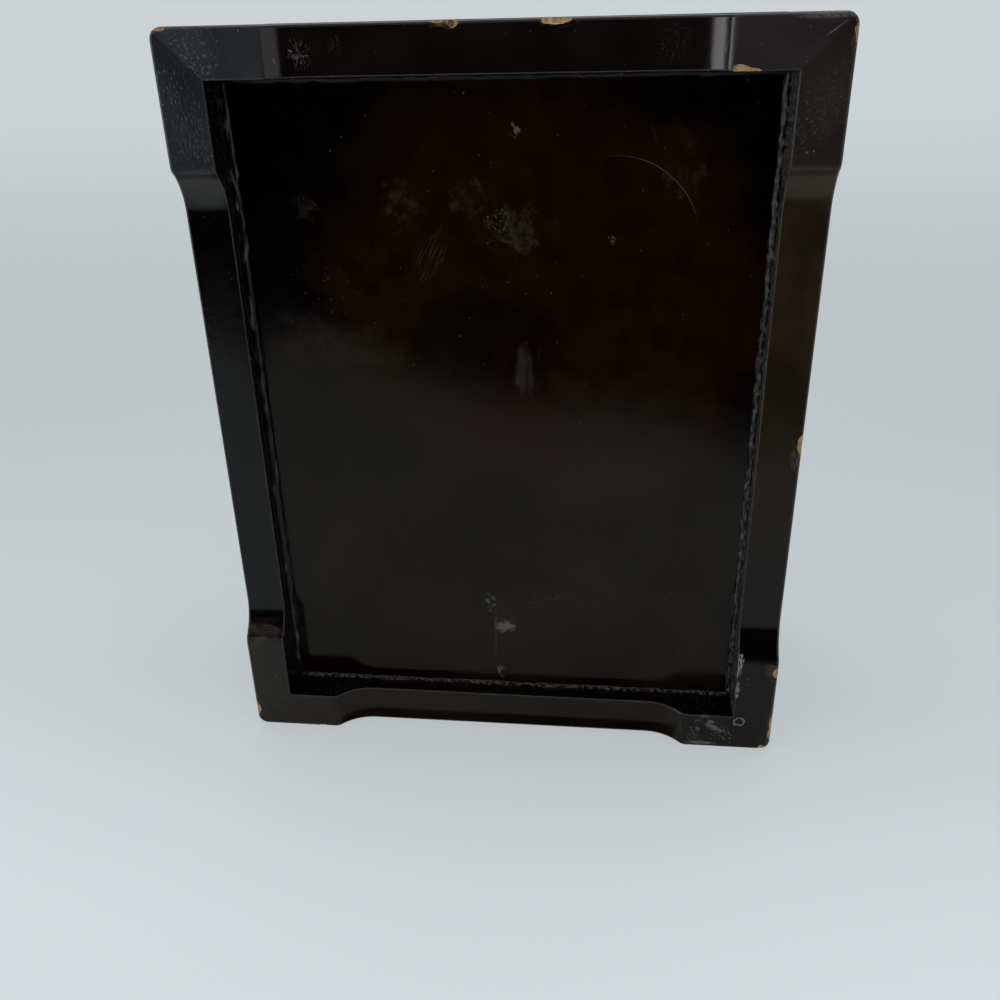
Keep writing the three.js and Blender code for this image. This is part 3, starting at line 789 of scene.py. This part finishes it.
panel_spots = [
    ("Patch", (0.0726, 0.0037, 0.0105), (0.0023, 0.0013, 0.002), 0.2, 1.2, 0.02, 0.7),
    ("Patch", (0.0520, -0.0005, 0.0105), (0.0036, 0.0028, 0.002), 0.2, 4.0, -0.05, 0.5),
    ("Patch", (0.0480, 0.0035, 0.0105), (0.0030, 0.0034, 0.002), 0.9, 5.0, -0.08, 0.4),
    ("Patch", (0.0472, 0.0267, 0.0105), (0.0013, 0.0010, 0.002), 0.2, 2.0, 0.05, 0.4),
    ("Patch", (-0.0558, -0.0052, 0.0105), (0.0036, 0.0019, 0.002), 0.3, 2.0, 0.02, 0.5),
    ("Patch", (-0.0638, -0.0011, 0.0105), (0.0023, 0.0035, 0.002), 0.2, 1.6, 0.3, 0.62),
    ("Patch", (-0.0663, -0.0038, 0.0105), (0.0098, 0.0003, 0.002), -0.03, 6.0, 0.0, 0.5),
    ("Lines", (-0.0795, -0.0029, 0.0105), (0.0026, 0.0024, 0.002), 0.2, 0.8, 0.05, 0.5),
]
haze = spread(tree, cloud, 0.40, 0.62, 0.0, spread(tree, lengthwise, -0.04, 0.0, 0.11, 0.0))
film = sum_up(tree, "MAXIMUM", marks_on(tree, place, panel_films), haze)
spots = marks_on(tree, place, panel_spots)
arc = use_group(
    tree, mark_at, Place=place, Centre=(0.04596, 0.02694, board_low.z),
    Size=(0.02028, 0.02028, 1.0), Grain=2.0, Width=0.0034,
)["Ring"]
arc_reach = use_group(
    tree, mark_at, Place=place, Centre=(0.06245, 0.03874, board_low.z),
    Size=(0.0165, 0.0165, 1.0), Grain=5.0, Width=0.12,
)
broken = spread(tree, arc_reach["Patch"], 0.0, 1.0, 0.25, 0.6)
arc = sum_up(tree, "MULTIPLY", sum_up(tree, "MULTIPLY", arc, arc_reach["Disc"]), broken)
spots = sum_up(tree, "MAXIMUM", spots, arc)
hairs = 0.0
for turn, density, length, share in ((0.3, 500.0, 28.0, 0.035), (1.9, 700.0, 40.0, 0.03)):
    lines = use_group(
        tree, fine_scratches, Place=place, Turn=turn, Density=density, Length=length, Share=share
    )["Mask"]
    hairs = sum_up(tree, "ADD", hairs, lines, True)
dust = use_group(tree, dust_specks, Place=place, Density=650.0, Size=0.13, Share=0.25)["Mask"]
hairs = sum_up(tree, "MULTIPLY", hairs, 0.06)
hairs = sum_up(tree, "ADD", hairs, sum_up(tree, "MULTIPLY", dust, 0.3), True)
spots = sum_up(tree, "MAXIMUM", spots, hairs)
colour = mix_colour(tree, film, colour, DRIED_FILM)
colour = mix_colour(tree, spots, colour, DRIED_SPOT)
tree.links.new(colour, shader.inputs["Base Color"])
gloss = spread(tree, mottle, 0.3, 0.7, 0.11, 0.17)
gloss = sum_up(tree, "ADD", gloss, sum_up(tree, "MULTIPLY", film, 0.5))
gloss = sum_up(tree, "ADD", gloss, sum_up(tree, "MULTIPLY", spots, 0.4))
tree.links.new(gloss, shader.inputs["Roughness"])
shader.inputs["Specular IOR Level"].default_value = 0.22
shader.inputs["Specular Tint"].default_value = (1.0, 0.95, 0.86, 1)
bump = add_node(tree, "Bump", Height=mottle, Strength=0.05, Distance=0.0003).outputs[0]
tree.links.new(bump, shader.inputs["Normal"])

VERMILION = (0.30, 0.038, 0.016, 1)
VERMILION_DARK = (0.215, 0.026, 0.012, 1)


def vermilion(name, edges):
    """Satin vermilion lacquer, faintly brushed, and rubbed dark on its edges."""
    material, tree, shader, place = new_material(name)
    facing = tree.nodes.new("ShaderNodeTexCoord").outputs["Normal"]
    cloud = add_node(tree, "TexNoise", Vector=place, Scale=60.0, Detail=5.0).outputs["Fac"]
    darker = spread(tree, cloud, 0.3, 0.8, 0.0, 0.8)
    colour = mix_colour(tree, darker, VERMILION, VERMILION_DARK)
    worn = use_group(
        tree, worn_edge, Place=place, Facing=facing, Edges=edges, Grain=380.0, Wear=0.0
    )["Mask"]
    hairs = use_group(
        tree, fine_scratches, Place=place, Turn=0.8, Density=700.0, Length=40.0, Share=0.06
    )["Mask"]
    colour = mix_colour(tree, sum_up(tree, "MULTIPLY", worn, 0.8), colour, LACQUER_BROWN)
    colour = mix_colour(tree, sum_up(tree, "MULTIPLY", hairs, 0.35), colour, VERMILION_DARK)
    tree.links.new(colour, shader.inputs["Base Color"])
    gloss = spread(tree, cloud, 0.3, 0.7, 0.3, 0.42)
    tree.links.new(gloss, shader.inputs["Roughness"])
    strokes = vectors(tree, "MULTIPLY", place, (120, 120, 900))
    brushed = add_node(tree, "TexNoise", Vector=strokes, Scale=1.0, Detail=3.0).outputs["Fac"]
    bump = add_node(tree, "Bump", Height=brushed, Strength=0.08, Distance=0.0002).outputs[0]
    tree.links.new(bump, shader.inputs["Normal"])
    return material


dress(bottom_board, panel_lacquer)
bottom_board.data.materials.append(vermilion("floor_vermilion", (1.0, 1.0, 0.0)))
for face in bottom_board.data.polygons:
    if face.center.z > wall_foot + HARDLY:
        face.material_index = 1
smooth(bottom_board)
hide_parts("bottom_board")
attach(bottom_board, "box")

# Glue and lacquer were squeezed out and left as a rough bead in the corner between the panel
# and each base board. It is lumpy, and thicker in some stretches than in others.
BEAD_STEP = 0.0012
BEAD_ROUGHNESS = 0.0011

inner_x = -base_low.x - rail_width
inner_y = -base_low.y - rail_width
panel_level = board_low.z


def glue_bead(name, axis, length, offset, radius):
    """A lumpy rod along one inner corner of the base."""
    bpy.ops.object.select_all(action="DESELECT")
    place = [0, 0, panel_level]
    place[1 - axis] = offset
    turned = (0, math.pi / 2, 0) if axis == 0 else (math.pi / 2, 0, 0)
    bpy.ops.mesh.primitive_cylinder_add(
        vertices=10, radius=radius, depth=length, location=place, rotation=turned
    )
    bead = bpy.context.object
    bpy.ops.object.transform_apply(location=True, rotation=True, scale=True)
    bead.name = name
    bead.data.name = name
    steps = int(length / BEAD_STEP)
    edit(bead, "EDGE", lambda edge: edge.calc_length() > length / 2)
    bpy.ops.mesh.subdivide(number_cuts=steps)
    bpy.ops.mesh.select_all(action="SELECT")
    bpy.ops.mesh.quads_convert_to_tris()
    close()
    lumps = bpy.data.textures.new(name + "_lumps", "CLOUDS")
    lumps.noise_scale = 0.0035
    lumps.noise_depth = 2
    shift = bead.modifiers.new("lumps", "DISPLACE")
    shift.texture = lumps
    shift.texture_coords = "LOCAL"
    shift.strength = BEAD_ROUGHNESS
    shift.mid_level = 0.5
    bpy.context.view_layer.objects.active = bead
    bpy.ops.object.modifier_apply(modifier=shift.name)
    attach(bead, "box")
    smooth(bead, 80)
    return bead


beads = {
    "front": glue_bead("glue_bead_front", 0, 2 * inner_x, -inner_y + 0.0003, 0.0012),
    "back": glue_bead("glue_bead_back", 0, 2 * inner_x, inner_y - 0.0003, 0.0011),
    "left": glue_bead("glue_bead_left", 1, 2 * inner_y, -inner_x + 0.0002, 0.0008),
    "right": glue_bead("glue_bead_right", 1, 2 * inner_y, inner_x - 0.0003, 0.0011),
}

BEAD_BLACK = (0.0012, 0.0012, 0.0015, 1)
BEAD_GREY = (0.060, 0.058, 0.057, 1)
BEAD_PINK = (0.062, 0.038, 0.032, 1)


def bead_lacquer(name, share, pinkness, pull):
    """Glue under lacquer, whose grains show grey where the lacquer has missed them."""
    material, tree, shader, place = new_material(name)
    pulled = vectors(tree, "MULTIPLY", place, pull)
    grain = add_node(tree, "TexNoise", Vector=pulled, Scale=1400.0, Detail=4.0).outputs["Fac"]
    stretch = add_node(tree, "TexNoise", Vector=place, Scale=45.0, Detail=3.0).outputs["Fac"]
    pink = spread(tree, stretch, 0.45, 0.6, 0.0, pinkness)
    pale = mix_colour(tree, pink, BEAD_GREY, BEAD_PINK)
    bare = spread(tree, sum_up(tree, "ADD", grain, share), 0.5, 0.64)
    colour = mix_colour(tree, bare, BEAD_BLACK, pale)
    tree.links.new(colour, shader.inputs["Base Color"])
    gloss = spread(tree, bare, 0.0, 1.0, 0.28, 0.65)
    tree.links.new(gloss, shader.inputs["Roughness"])
    shader.inputs["Specular IOR Level"].default_value = 0.25
    bump = add_node(tree, "Bump", Height=grain, Strength=0.8, Distance=0.0004).outputs[0]
    tree.links.new(bump, shader.inputs["Normal"])
    return material


for name, share, pinkness, pull in (
    ("front", -0.03, 0.3, (0.12, 0.7, 0.7)),
    ("back", 0.03, 0.0, (0.4, 1.0, 1.0)),
    ("left", 0.04, 1.0, (1.0, 0.8, 1.0)),
    ("right", -0.10, 0.0, (1.0, 0.5, 1.0)),
):
    dress(beads[name], bead_lacquer("bead_lacquer_" + name, share, pinkness, pull))

# The walls are four mitred boards that stand in the rebate round the bottom board, lacquered
# black outside. The back edge is bevelled for the hinges, so that the lid can lean back, and
# a shallow seat is cut there for each hinge leaf.
WALL_EDGE = 0.00035

body_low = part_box("wall_left")[0]
body_low = Vector((body_low.x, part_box("wall_front")[0].y, body_low.z))
joint_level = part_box("wall_front")[1].z
wall_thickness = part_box("wall_front")[1].y - body_low.y
pin_low, pin_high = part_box("hinge_left_pin")
hinge_line = Vector((0, (pin_low.y + pin_high.y) / 2, joint_level))
lid_opening = math.radians(frame["record"]["behaviour"]["joints"][0]["range_deg"][1] + 1)
HINGE_SEAT = 0.001
HINGE_GAP = 0.0003
BEVEL_GAP = 0.00008


def frame_of_boards(prefix, low, high, corner, thickness, way):
    """Four mitred boards round the box, eased at their upper edges, or lower ones."""
    boards = {}
    for name, axis in (("front", 0), ("left", 1)):
        board = mitred_board(
            prefix + "_" + name, axis, -corner[axis], corner[1 - axis], thickness, low, high
        )
        shaping = rounded_block(
            (corner.x, corner.y, low - OVERSIZE),
            (-corner.x, -corner.y, high + OVERSIZE),
            BODY_CORNER,
        )
        combine(board, shaping, "INTERSECT")

        def flat(normal):
            return way * normal.z > 0.9

        def long_side(normal, across_axis=1 - axis):
            outward = normal[across_axis] < -0.5
            inward = normal[across_axis] > 0.9
            return abs(normal.z) < 0.1 and (outward or inward)

        round_edges(board, WALL_EDGE, 3, lambda edge: across(edge, flat, long_side))
        boards[name] = board
    boards["back"] = half_turn_copy(boards["front"], prefix + "_back")
    boards["right"] = half_turn_copy(boards["left"], prefix + "_right")
    return boards


def bevel_back(board, way):
    """Bevels a board's back edge down, or up, from the hinge line."""
    lean = lid_opening / 2
    start = hinge_line - Vector((0, BEVEL_GAP, 0))
    saw(board, start, (0, math.sin(lean), way * math.cos(lean)))


def cut_hinge_seats(board, way):
    """Cuts the seats of both hinges into a back board, on either side of the joint; way is not
    used.
    """
    for hand in ("left", "right"):
        low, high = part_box("hinge_" + hand + "_body_leaf")
        bpy.ops.object.select_all(action="DESELECT")
        seat = add_block(
            "seat",
            (low.x - HINGE_GAP, hinge_line.y - wall_thickness, joint_level - HINGE_SEAT),
            (high.x + HINGE_GAP, hinge_line.y, joint_level + HINGE_SEAT),
        )
        bpy.ops.object.select_all(action="DESELECT")
        bpy.ops.mesh.primitive_cylinder_add(
            vertices=48,
            radius=(high.y - hinge_line.y) + HINGE_GAP,
            depth=high.x - low.x + 2 * HINGE_GAP,
            location=((low.x + high.x) / 2, hinge_line.y, joint_level),
            rotation=(0, math.pi / 2, 0),
        )
        groove = bpy.context.object
        combine(seat, groove, "UNION")
        combine(board, seat, "DIFFERENCE")


GLOSS_BLACK = (0.0035, 0.0026, 0.0026, 1)
GLOSS_BROWN = (0.012, 0.0062, 0.0044, 1)
HAIR_GREY = (0.085, 0.08, 0.075, 1)


def gloss_lacquer(name, edges):
    """Polished black lacquer with a brown depth, hair scratches, dust and rubbed edges, with a
    painted highlight along the edges.
    """
    material, tree, shader, place = new_material(name)
    facing = tree.nodes.new("ShaderNodeTexCoord").outputs["Normal"]
    cloud = add_node(tree, "TexNoise", Vector=place, Scale=22.0, Detail=4.0).outputs["Fac"]
    mottle = add_node(tree, "TexNoise", Vector=place, Scale=260.0, Detail=5.0).outputs["Fac"]
    depth = sum_up(tree, "MULTIPLY", spread(tree, cloud, 0.35, 0.7), 0.85)
    colour = mix_colour(tree, depth, GLOSS_BLACK, GLOSS_BROWN)
    hairs = 0.0
    for turn, density, length, share in ((0.2, 520.0, 26.0, 0.03), (1.2, 800.0, 45.0, 0.03)):
        lines = use_group(
            tree, fine_scratches, Place=place, Turn=turn, Density=density, Length=length,
            Share=share,
        )["Mask"]
        hairs = sum_up(tree, "ADD", hairs, lines, True)
    dust = use_group(
        tree, dust_specks, Place=place, Density=420.0, Size=0.12, Share=0.12
    )["Mask"]
    hairs = sum_up(tree, "MULTIPLY", sum_up(tree, "ADD", hairs, dust, True), 0.5)
    wear = use_group(
        tree, worn_edge, Place=place, Facing=facing, Edges=edges, Grain=330.0, Wear=-0.03
    )
    worn = wear["Mask"]
    # A pale line along every edge: partly rubbed lacquer, partly a painted highlight.
    colour = mix_colour(tree, sum_up(tree, "MULTIPLY", wear["Edge"], 0.25), colour, EDGE_RUBBED_AND_PAINTED_HIGHLIGHT)
    colour = mix_colour(tree, sum_up(tree, "MULTIPLY", worn, 0.8), colour, WORN_THROUGH)
    colour = mix_colour(tree, hairs, colour, HAIR_GREY)
    tree.links.new(colour, shader.inputs["Base Color"])
    gloss = sum_up(tree, "ADD", spread(tree, mottle, 0.3, 0.7, 0.11, 0.14), hairs)
    gloss = sum_up(tree, "ADD", gloss, sum_up(tree, "MULTIPLY", worn, 0.3))
    tree.links.new(gloss, shader.inputs["Roughness"])
    shader.inputs["Specular IOR Level"].default_value = 0.3
    shader.inputs["Specular Tint"].default_value = WARM_GLOSS
    height = sum_up(tree, "SUBTRACT", mottle, worn)
    bump = add_node(tree, "Bump", Height=height, Strength=0.018, Distance=0.0003).outputs[0]
    tree.links.new(bump, shader.inputs["Normal"])
    return material


walls = frame_of_boards("wall_board", wall_foot, joint_level, body_low, wall_thickness, 1)
wall_lacquer = gloss_lacquer("wall_lacquer", (1.0, 1.0, 2.0))
for wall in walls.values():
    dress(wall, wall_lacquer)
for name, wall in walls.items():
    if name != "front":
        bevel_back(wall, 1)
    if name == "back":
        cut_hinge_seats(wall, 1)
    smooth(wall)
    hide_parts("wall_" + name)
    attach(wall, "box")

# Thin lining boards stand inside the walls and rise past them, so that their upper edge is a
# lip that the lid closes over. They are lacquered vermilion, with a softly rounded top.
LINING_EDGE = 0.0009

lining_low, lining_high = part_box("lining_front")
lining_thickness = lining_high.y - lining_low.y
linings = {}
for name, axis in (("front", 0), ("left", 1)):
    low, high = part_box("lining_" + name)
    lining = mitred_board(
        "lining_board_" + name, axis, high[axis], low[1 - axis], lining_thickness, low.z, high.z
    )
    saw_off = [0, 0, 0]
    saw_off[1 - axis] = low[1 - axis]
    facing = [0, 0, 0]
    facing[1 - axis] = -1
    saw(lining, saw_off, facing)

    def top(normal):
        return normal.z > 0.9

    def face(normal, across_axis=1 - axis):
        return abs(normal[across_axis]) > 0.9

    round_edges(lining, LINING_EDGE, 4, lambda edge: across(edge, top, face))
    linings[name] = lining
linings["back"] = half_turn_copy(linings["front"], "lining_board_back")
linings["right"] = half_turn_copy(linings["left"], "lining_board_right")
lining_lacquer = vermilion("lining_vermilion", (2.0, 2.0, 0.0))
for name, lining in linings.items():
    dress(lining, lining_lacquer)
    smooth(lining)
    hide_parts("lining_" + name)
    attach(lining, "box")

# The lid's sides are four mitred rails that rest on the walls when the lid is shut. The back
# one is bevelled and cut for the hinges as the wall below it is.
lid_low, lid_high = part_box("lid_rail_front")
lid_rail_thickness = lid_high.y - lid_low.y
lid_rails = frame_of_boards(
    "lid_side", joint_level, lid_high.z, body_low, lid_rail_thickness, -1
)
lid_side_lacquer = gloss_lacquer("lid_side_lacquer", (1.0, 1.0, 2.0))
for rail in lid_rails.values():
    dress(rail, lid_side_lacquer)
for name, rail in lid_rails.items():
    if name != "front":
        bevel_back(rail, -1)
    if name == "back":
        cut_hinge_seats(rail, -1)
    smooth(rail)
    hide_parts("lid_rail_" + name)
    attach(rail, "lid")

# The lid's top is one board glued on its sides. It stands a little proud of them all round,
# and its upper edges are rounded over.
TOP_CORNER = 0.0045
TOP_EDGE = 0.0032
TOP_LOWER_EDGE = 0.0006

top_low, top_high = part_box("lid_top")
lid_top = rounded_block(top_low, top_high, TOP_CORNER, TOP_EDGE)
lid_top.name = "lid_board"
lid_top.data.name = "lid_board"
round_edges(
    lid_top,
    TOP_LOWER_EDGE,
    3,
    lambda edge: max(v.co.z for v in edge.verts) < top_low.z + HARDLY,
)
smooth(lid_top)
dress(lid_top, gloss_lacquer("lid_top_lacquer", (1.0, 1.0, 2.0)))
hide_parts("lid_top")
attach(lid_top, "lid")


# The hinges are two brass butts, each of two leaves and a pin, held by eight slotted brass
# screws. The metal is drawn and turned, and has dulled to brown in patches.
BRASS = (0.62, 0.42, 0.16, 1)
BRASS_DULL = (0.22, 0.13, 0.05, 1)

brass, tree, shader, place = new_material("aged_brass")
stain = add_node(tree, "TexNoise", Vector=place, Scale=330.0, Detail=3.0).outputs["Fac"]
tint = mix_colour(tree, spread(tree, stain, 0.4, 0.75, 0.0, 0.75), BRASS, BRASS_DULL)
tree.links.new(tint, shader.inputs["Base Color"])
tree.links.new(spread(tree, stain, 0.3, 0.7, 0.27, 0.42), shader.inputs["Roughness"])
shader.inputs["Metallic"].default_value = 1.0
for name, part in frame["nodes"].items():
    if name.startswith("hinge_"):
        dress(part, brass)

# The camera stands where the photograph was taken from, below and in front of the underside.
CAMERA_PLACE = (0.09532, 0.02658, -0.22757)
CAMERA_TILT = 26.2
CAMERA_TURN = -6.757
CAMERA_ROLL = 1.369
CAMERA_LENS = 35.34

camera_data = bpy.data.cameras.new("camera")
camera_data.lens = CAMERA_LENS
camera_data.sensor_width = 36
camera_data.clip_start = 0.01
camera = bpy.data.objects.new("camera", camera_data)
bpy.context.collection.objects.link(camera)
standing = Matrix(((0, 1, 0), (1, 0, 0), (0, 0, -1)))
aim = (
    Matrix.Rotation(math.radians(CAMERA_ROLL), 3, "Z")
    @ Matrix.Rotation(math.radians(CAMERA_TILT), 3, "X")
    @ Matrix.Rotation(math.radians(CAMERA_TURN), 3, "Y")
)
camera.rotation_euler = (standing @ aim.transposed()).to_euler()
camera.location = CAMERA_PLACE
bpy.context.scene.camera = camera

# The studio is a pale seamless sheet of paper under the end that the box stands on, which
# curves up behind it, and a table under its feet for the views of the box the right way up.
PAPER = (0.66, 0.70, 0.72, 1)
PAPER_GLOW = (0.60, 0.645, 0.665, 1)
GLOW_NEAR = 0.65
STANDING_END = -0.095
SHEET_FRONT = -0.7
SHEET_CUT_PLACE = (STANDING_END, 0.092, -0.248)
SHEET_CUT_FACING = (0, 0.54, -0.84)
# Darker glow: painted shade on the floor behind the box.
PAPER_GLOW_PAINTED_SHADE = (0.515, 0.555, 0.572, 1)
# Brighter glow: painted light on the floor in front of the box.
PAPER_GLOW_PAINTED_LIGHT = (0.73, 0.785, 0.81, 1)
GLOW_BESIDE_BOX = 0.5
CUT_REACH = 0.258
TABLE_GAP = 0.0002
SHEET_BEND = 0.45
SHEET_RADIUS = 0.3
SHEET_REACH = 1.2
SHEET_HEIGHT = 1.2

bpy.ops.object.select_all(action="DESELECT")
bpy.ops.mesh.primitive_plane_add(size=1, location=(STANDING_END, 0, (SHEET_FRONT + SHEET_BEND) / 2))
sheet = bpy.context.object
sheet.name = "paper_sheet"
sheet.rotation_euler = (0, math.pi / 2, 0)
sheet.scale = (SHEET_BEND - SHEET_FRONT, 2 * SHEET_REACH, 1)
bpy.ops.object.transform_apply(location=True, rotation=True, scale=True)
edit(sheet, "EDGE", lambda edge: min(v.co.z for v in edge.verts) > SHEET_BEND - HARDLY)
bpy.ops.mesh.spin(
    steps=24,
    angle=-math.pi / 2,
    center=(STANDING_END + SHEET_RADIUS, 0, SHEET_BEND),
    axis=(0, 1, 0),
)
bpy.ops.mesh.extrude_region_move(TRANSFORM_OT_translate={"value": (SHEET_HEIGHT, 0, 0)})
close()
edit(sheet)
bpy.ops.mesh.normals_make_consistent(inside=True)
close()
saw(sheet, SHEET_CUT_PLACE, SHEET_CUT_FACING)
smooth(sheet, 30)

bpy.ops.object.select_all(action="DESELECT")
bpy.ops.mesh.primitive_plane_add(size=8, location=(0, 0, -TABLE_GAP))
table = bpy.context.object
table.name = "table_top"

paper, tree, shader, place = new_material("paper")
shader.inputs["Base Color"].default_value = PAPER
shader.inputs["Roughness"].default_value = 0.7
shader.inputs["Specular IOR Level"].default_value = 0.2
height = add_node(tree, "SeparateXYZ", i0=place).outputs["Z"]
path = tree.nodes.new("ShaderNodeLightPath").outputs
back = tree.nodes.new("ShaderNodeNewGeometry").outputs["Backfacing"]
seen_late = add_node(
    tree, "Math", {"operation": "GREATER_THAN"}, i0=path["Transparent Depth"], i1=0.5
).outputs[0]
seen_past_table = add_node(
    tree, "Math", {"operation": "MULTIPLY"}, i0=seen_late, i1=path["Is Camera Ray"]
).outputs[0]
above = add_node(tree, "Math", {"operation": "GREATER_THAN"}, i0=height, i1=0.0).outputs[0]
hidden = add_node(
    tree, "Math", {"operation": "SUBTRACT", "use_clamp": True}, i0=above, i1=seen_past_table
).outputs[0]
gone = add_node(tree, "Math", {"operation": "MAXIMUM"}, i0=hidden, i1=back).outputs[0]
clear = tree.nodes.new("ShaderNodeBsdfTransparent").outputs[0]


def paper_seen(tree, shader, nearness, colour, in_gloss=1.0):
    """Paper that looks evenly pale to the camera and in gloss, yet keeps a soft shadow."""
    path = tree.nodes.new("ShaderNodeLightPath").outputs
    mirrored = sum_up(tree, "MAXIMUM", path["Is Glossy Ray"], path["Is Transmission Ray"])
    mirrored = sum_up(tree, "MULTIPLY", mirrored, in_gloss)
    looking = sum_up(tree, "MAXIMUM", path["Is Camera Ray"], mirrored)
    share = sum_up(tree, "MULTIPLY", looking, nearness)
    glow = add_node(tree, "Emission", Color=colour, Strength=1.0).outputs[0]
    return add_node(tree, "MixShader", i0=share, i1=shader.outputs[0], i2=glow).outputs[0]


far = spread(tree, height, 0.1, 0.45, GLOW_NEAR, 1.0)
beside_box = spread(tree, height, -0.07, 0.0, 1.0, GLOW_BESIDE_BOX)
across_sheet = add_node(tree, "SeparateXYZ", i0=place).outputs["Y"]
from_cut = vectors(tree, "DOT_PRODUCT", place, SHEET_CUT_FACING)
bend = spread(tree, across_sheet, -0.03, 0.055, 0.0, 0.03)
from_cut = sum_up(tree, "SUBTRACT", from_cut, bend)
mirrored = sum_up(tree, "MAXIMUM", path["Is Glossy Ray"], path["Is Transmission Ray"])
ending = spread(tree, from_cut, CUT_REACH - 0.12, CUT_REACH - 0.01, 0.0, 0.97)
gone = sum_up(tree, "MAXIMUM", gone, sum_up(tree, "MULTIPLY", mirrored, ending))
lifted = add_node(tree, "SeparateXYZ", i0=place).outputs["X"]
# The flat floor behind the box glows darker, as painted shade.
painted_shade_behind = spread(tree, height, -0.05, 0.25)
painted_shade_behind = sum_up(tree, "MULTIPLY", painted_shade_behind, spread(tree, lifted, -0.09, 0.03, 1.0, 0.0))
# The floor in front of the box glows brighter to the camera, as painted light.
before = spread(tree, height, -0.08, 0.03, 1.0, 0.0)
before = sum_up(tree, "MULTIPLY", before, path["Is Camera Ray"])
glow_colour = mix_colour(tree, painted_shade_behind, PAPER_GLOW, PAPER_GLOW_PAINTED_SHADE)
glow_colour = mix_colour(tree, before, glow_colour, PAPER_GLOW_PAINTED_LIGHT)
lit = paper_seen(tree, shader, far, glow_colour, beside_box)
shown = add_node(tree, "MixShader", i0=gone, i1=lit, i2=clear)
tree.links.new(shown.outputs[0], tree.nodes["Material Output"].inputs["Surface"])
dress(sheet, paper)

table_paper, tree, shader, place = new_material("table_paper")
shader.inputs["Base Color"].default_value = PAPER
shader.inputs["Roughness"].default_value = 0.7
shader.inputs["Specular IOR Level"].default_value = 0.2
FOOT_MARGIN = 0.006
parts = add_node(tree, "SeparateXYZ", i0=place).outputs
inside = []
for axis, half in (("X", -base_low.x), ("Y", -base_low.y)):
    distance = add_node(tree, "Math", {"operation": "ABSOLUTE"}, i0=parts[axis]).outputs[0]
    inside.append(
        add_node(
            tree, "Math", {"operation": "LESS_THAN"}, i0=distance, i1=half + FOOT_MARGIN
        ).outputs[0]
    )
footprint = add_node(tree, "Math", {"operation": "MULTIPLY"}, i0=inside[0], i1=inside[1]).outputs[0]
path = tree.nodes.new("ShaderNodeLightPath").outputs
not_camera = add_node(
    tree, "Math", {"operation": "SUBTRACT"}, i0=1.0, i1=path["Is Camera Ray"]
).outputs[0]
under_box = add_node(
    tree, "Math", {"operation": "MULTIPLY"}, i0=footprint, i1=not_camera
).outputs[0]
back = tree.nodes.new("ShaderNodeNewGeometry").outputs["Backfacing"]
gone = add_node(tree, "Math", {"operation": "MAXIMUM"}, i0=under_box, i1=back).outputs[0]
clear = tree.nodes.new("ShaderNodeBsdfTransparent").outputs[0]
far = spread(tree, vectors(tree, "LENGTH", place), 0.2, 0.9, GLOW_NEAR, 1.0)
lit = paper_seen(tree, shader, far, PAPER_GLOW)
shown = add_node(tree, "MixShader", i0=gone, i1=lit, i2=clear)
tree.links.new(shown.outputs[0], tree.nodes["Material Output"].inputs["Surface"])
dress(table, table_paper)
for stage in (sheet, table):
    stage.visible_shadow = False
table.visible_diffuse = False

world = bpy.data.worlds.new("studio")
bpy.context.scene.world = world
world.use_nodes = True
tree = world.node_tree
path = tree.nodes.new("ShaderNodeLightPath").outputs
DIM_BELOW = (0.012, 0.012, 0.013, 1)
PALE_ABOVE = (0.24, 0.25, 0.26, 1)
BACKDROP = (0.60, 0.64, 0.67, 1)
direction = tree.nodes.new("ShaderNodeTexCoord").outputs["Generated"]
rise = add_node(tree, "SeparateXYZ", i0=direction).outputs[2]
room = mix_colour(tree, spread(tree, rise, -0.1, 0.3), DIM_BELOW, PALE_ABOVE)
tint = mix_colour(tree, path["Is Camera Ray"], room, BACKDROP)
tree.links.new(tint, tree.nodes["Background"].inputs["Color"])

unlit = bpy.data.collections.new("lit_by_the_key_alone")
unlit.objects.link(sheet)


def soft_lamp(name, place, target, size, power, natural):
    """A large square lamp aimed at a point. A natural one leaves the standing sheet alone."""
    data = bpy.data.lights.new(name, "AREA")
    data.shape = "SQUARE"
    data.size = size
    data.energy = power
    lamp = bpy.data.objects.new(name, data)
    bpy.context.collection.objects.link(lamp)
    lamp.location = place
    direction = Vector(target) - Vector(place)
    lamp.rotation_euler = direction.to_track_quat("-Z", "Y").to_euler()
    if natural:
        lamp.light_linking.receiver_collection = unlit
        unlit.collection_objects[0].light_linking.link_state = "EXCLUDE"
    return lamp


soft_lamp("key_over_standing_box", (0.9, 0, 0.15), (0, 0, 0), 0.9, 8.0, False)
soft_lamp("window_beside_standing_box", (0.08, -0.9, -0.42), (0, 0, 0), 0.45, 3.3, False)
soft_lamp("wall_beside_standing_box", (0.08, 0.9, -0.42), (0, 0, 0), 0.6, 1.4, False)
front_fill = soft_lamp("fill_before_standing_box", (0.2, 0.1, -1.0), (0, 0, 0), 0.6, 3.4, False)
front_fill.visible_glossy = False
top_lamp = soft_lamp("lamp_above", (0, -0.2, 1.0), (0, 0, 0.03), 0.8, 4.0, True)
top_lamp.visible_glossy = False
soft_lamp("lamp_front_left", (-0.7, -0.9, 0.55), (0, 0, 0.03), 1.1, 5.0, True)
soft_lamp("lamp_back_left", (-0.6, 0.9, 0.6), (0, 0, 0.03), 1.3, 4.0, True)

bpy.context.scene.view_settings.view_transform = "Standard"

import json
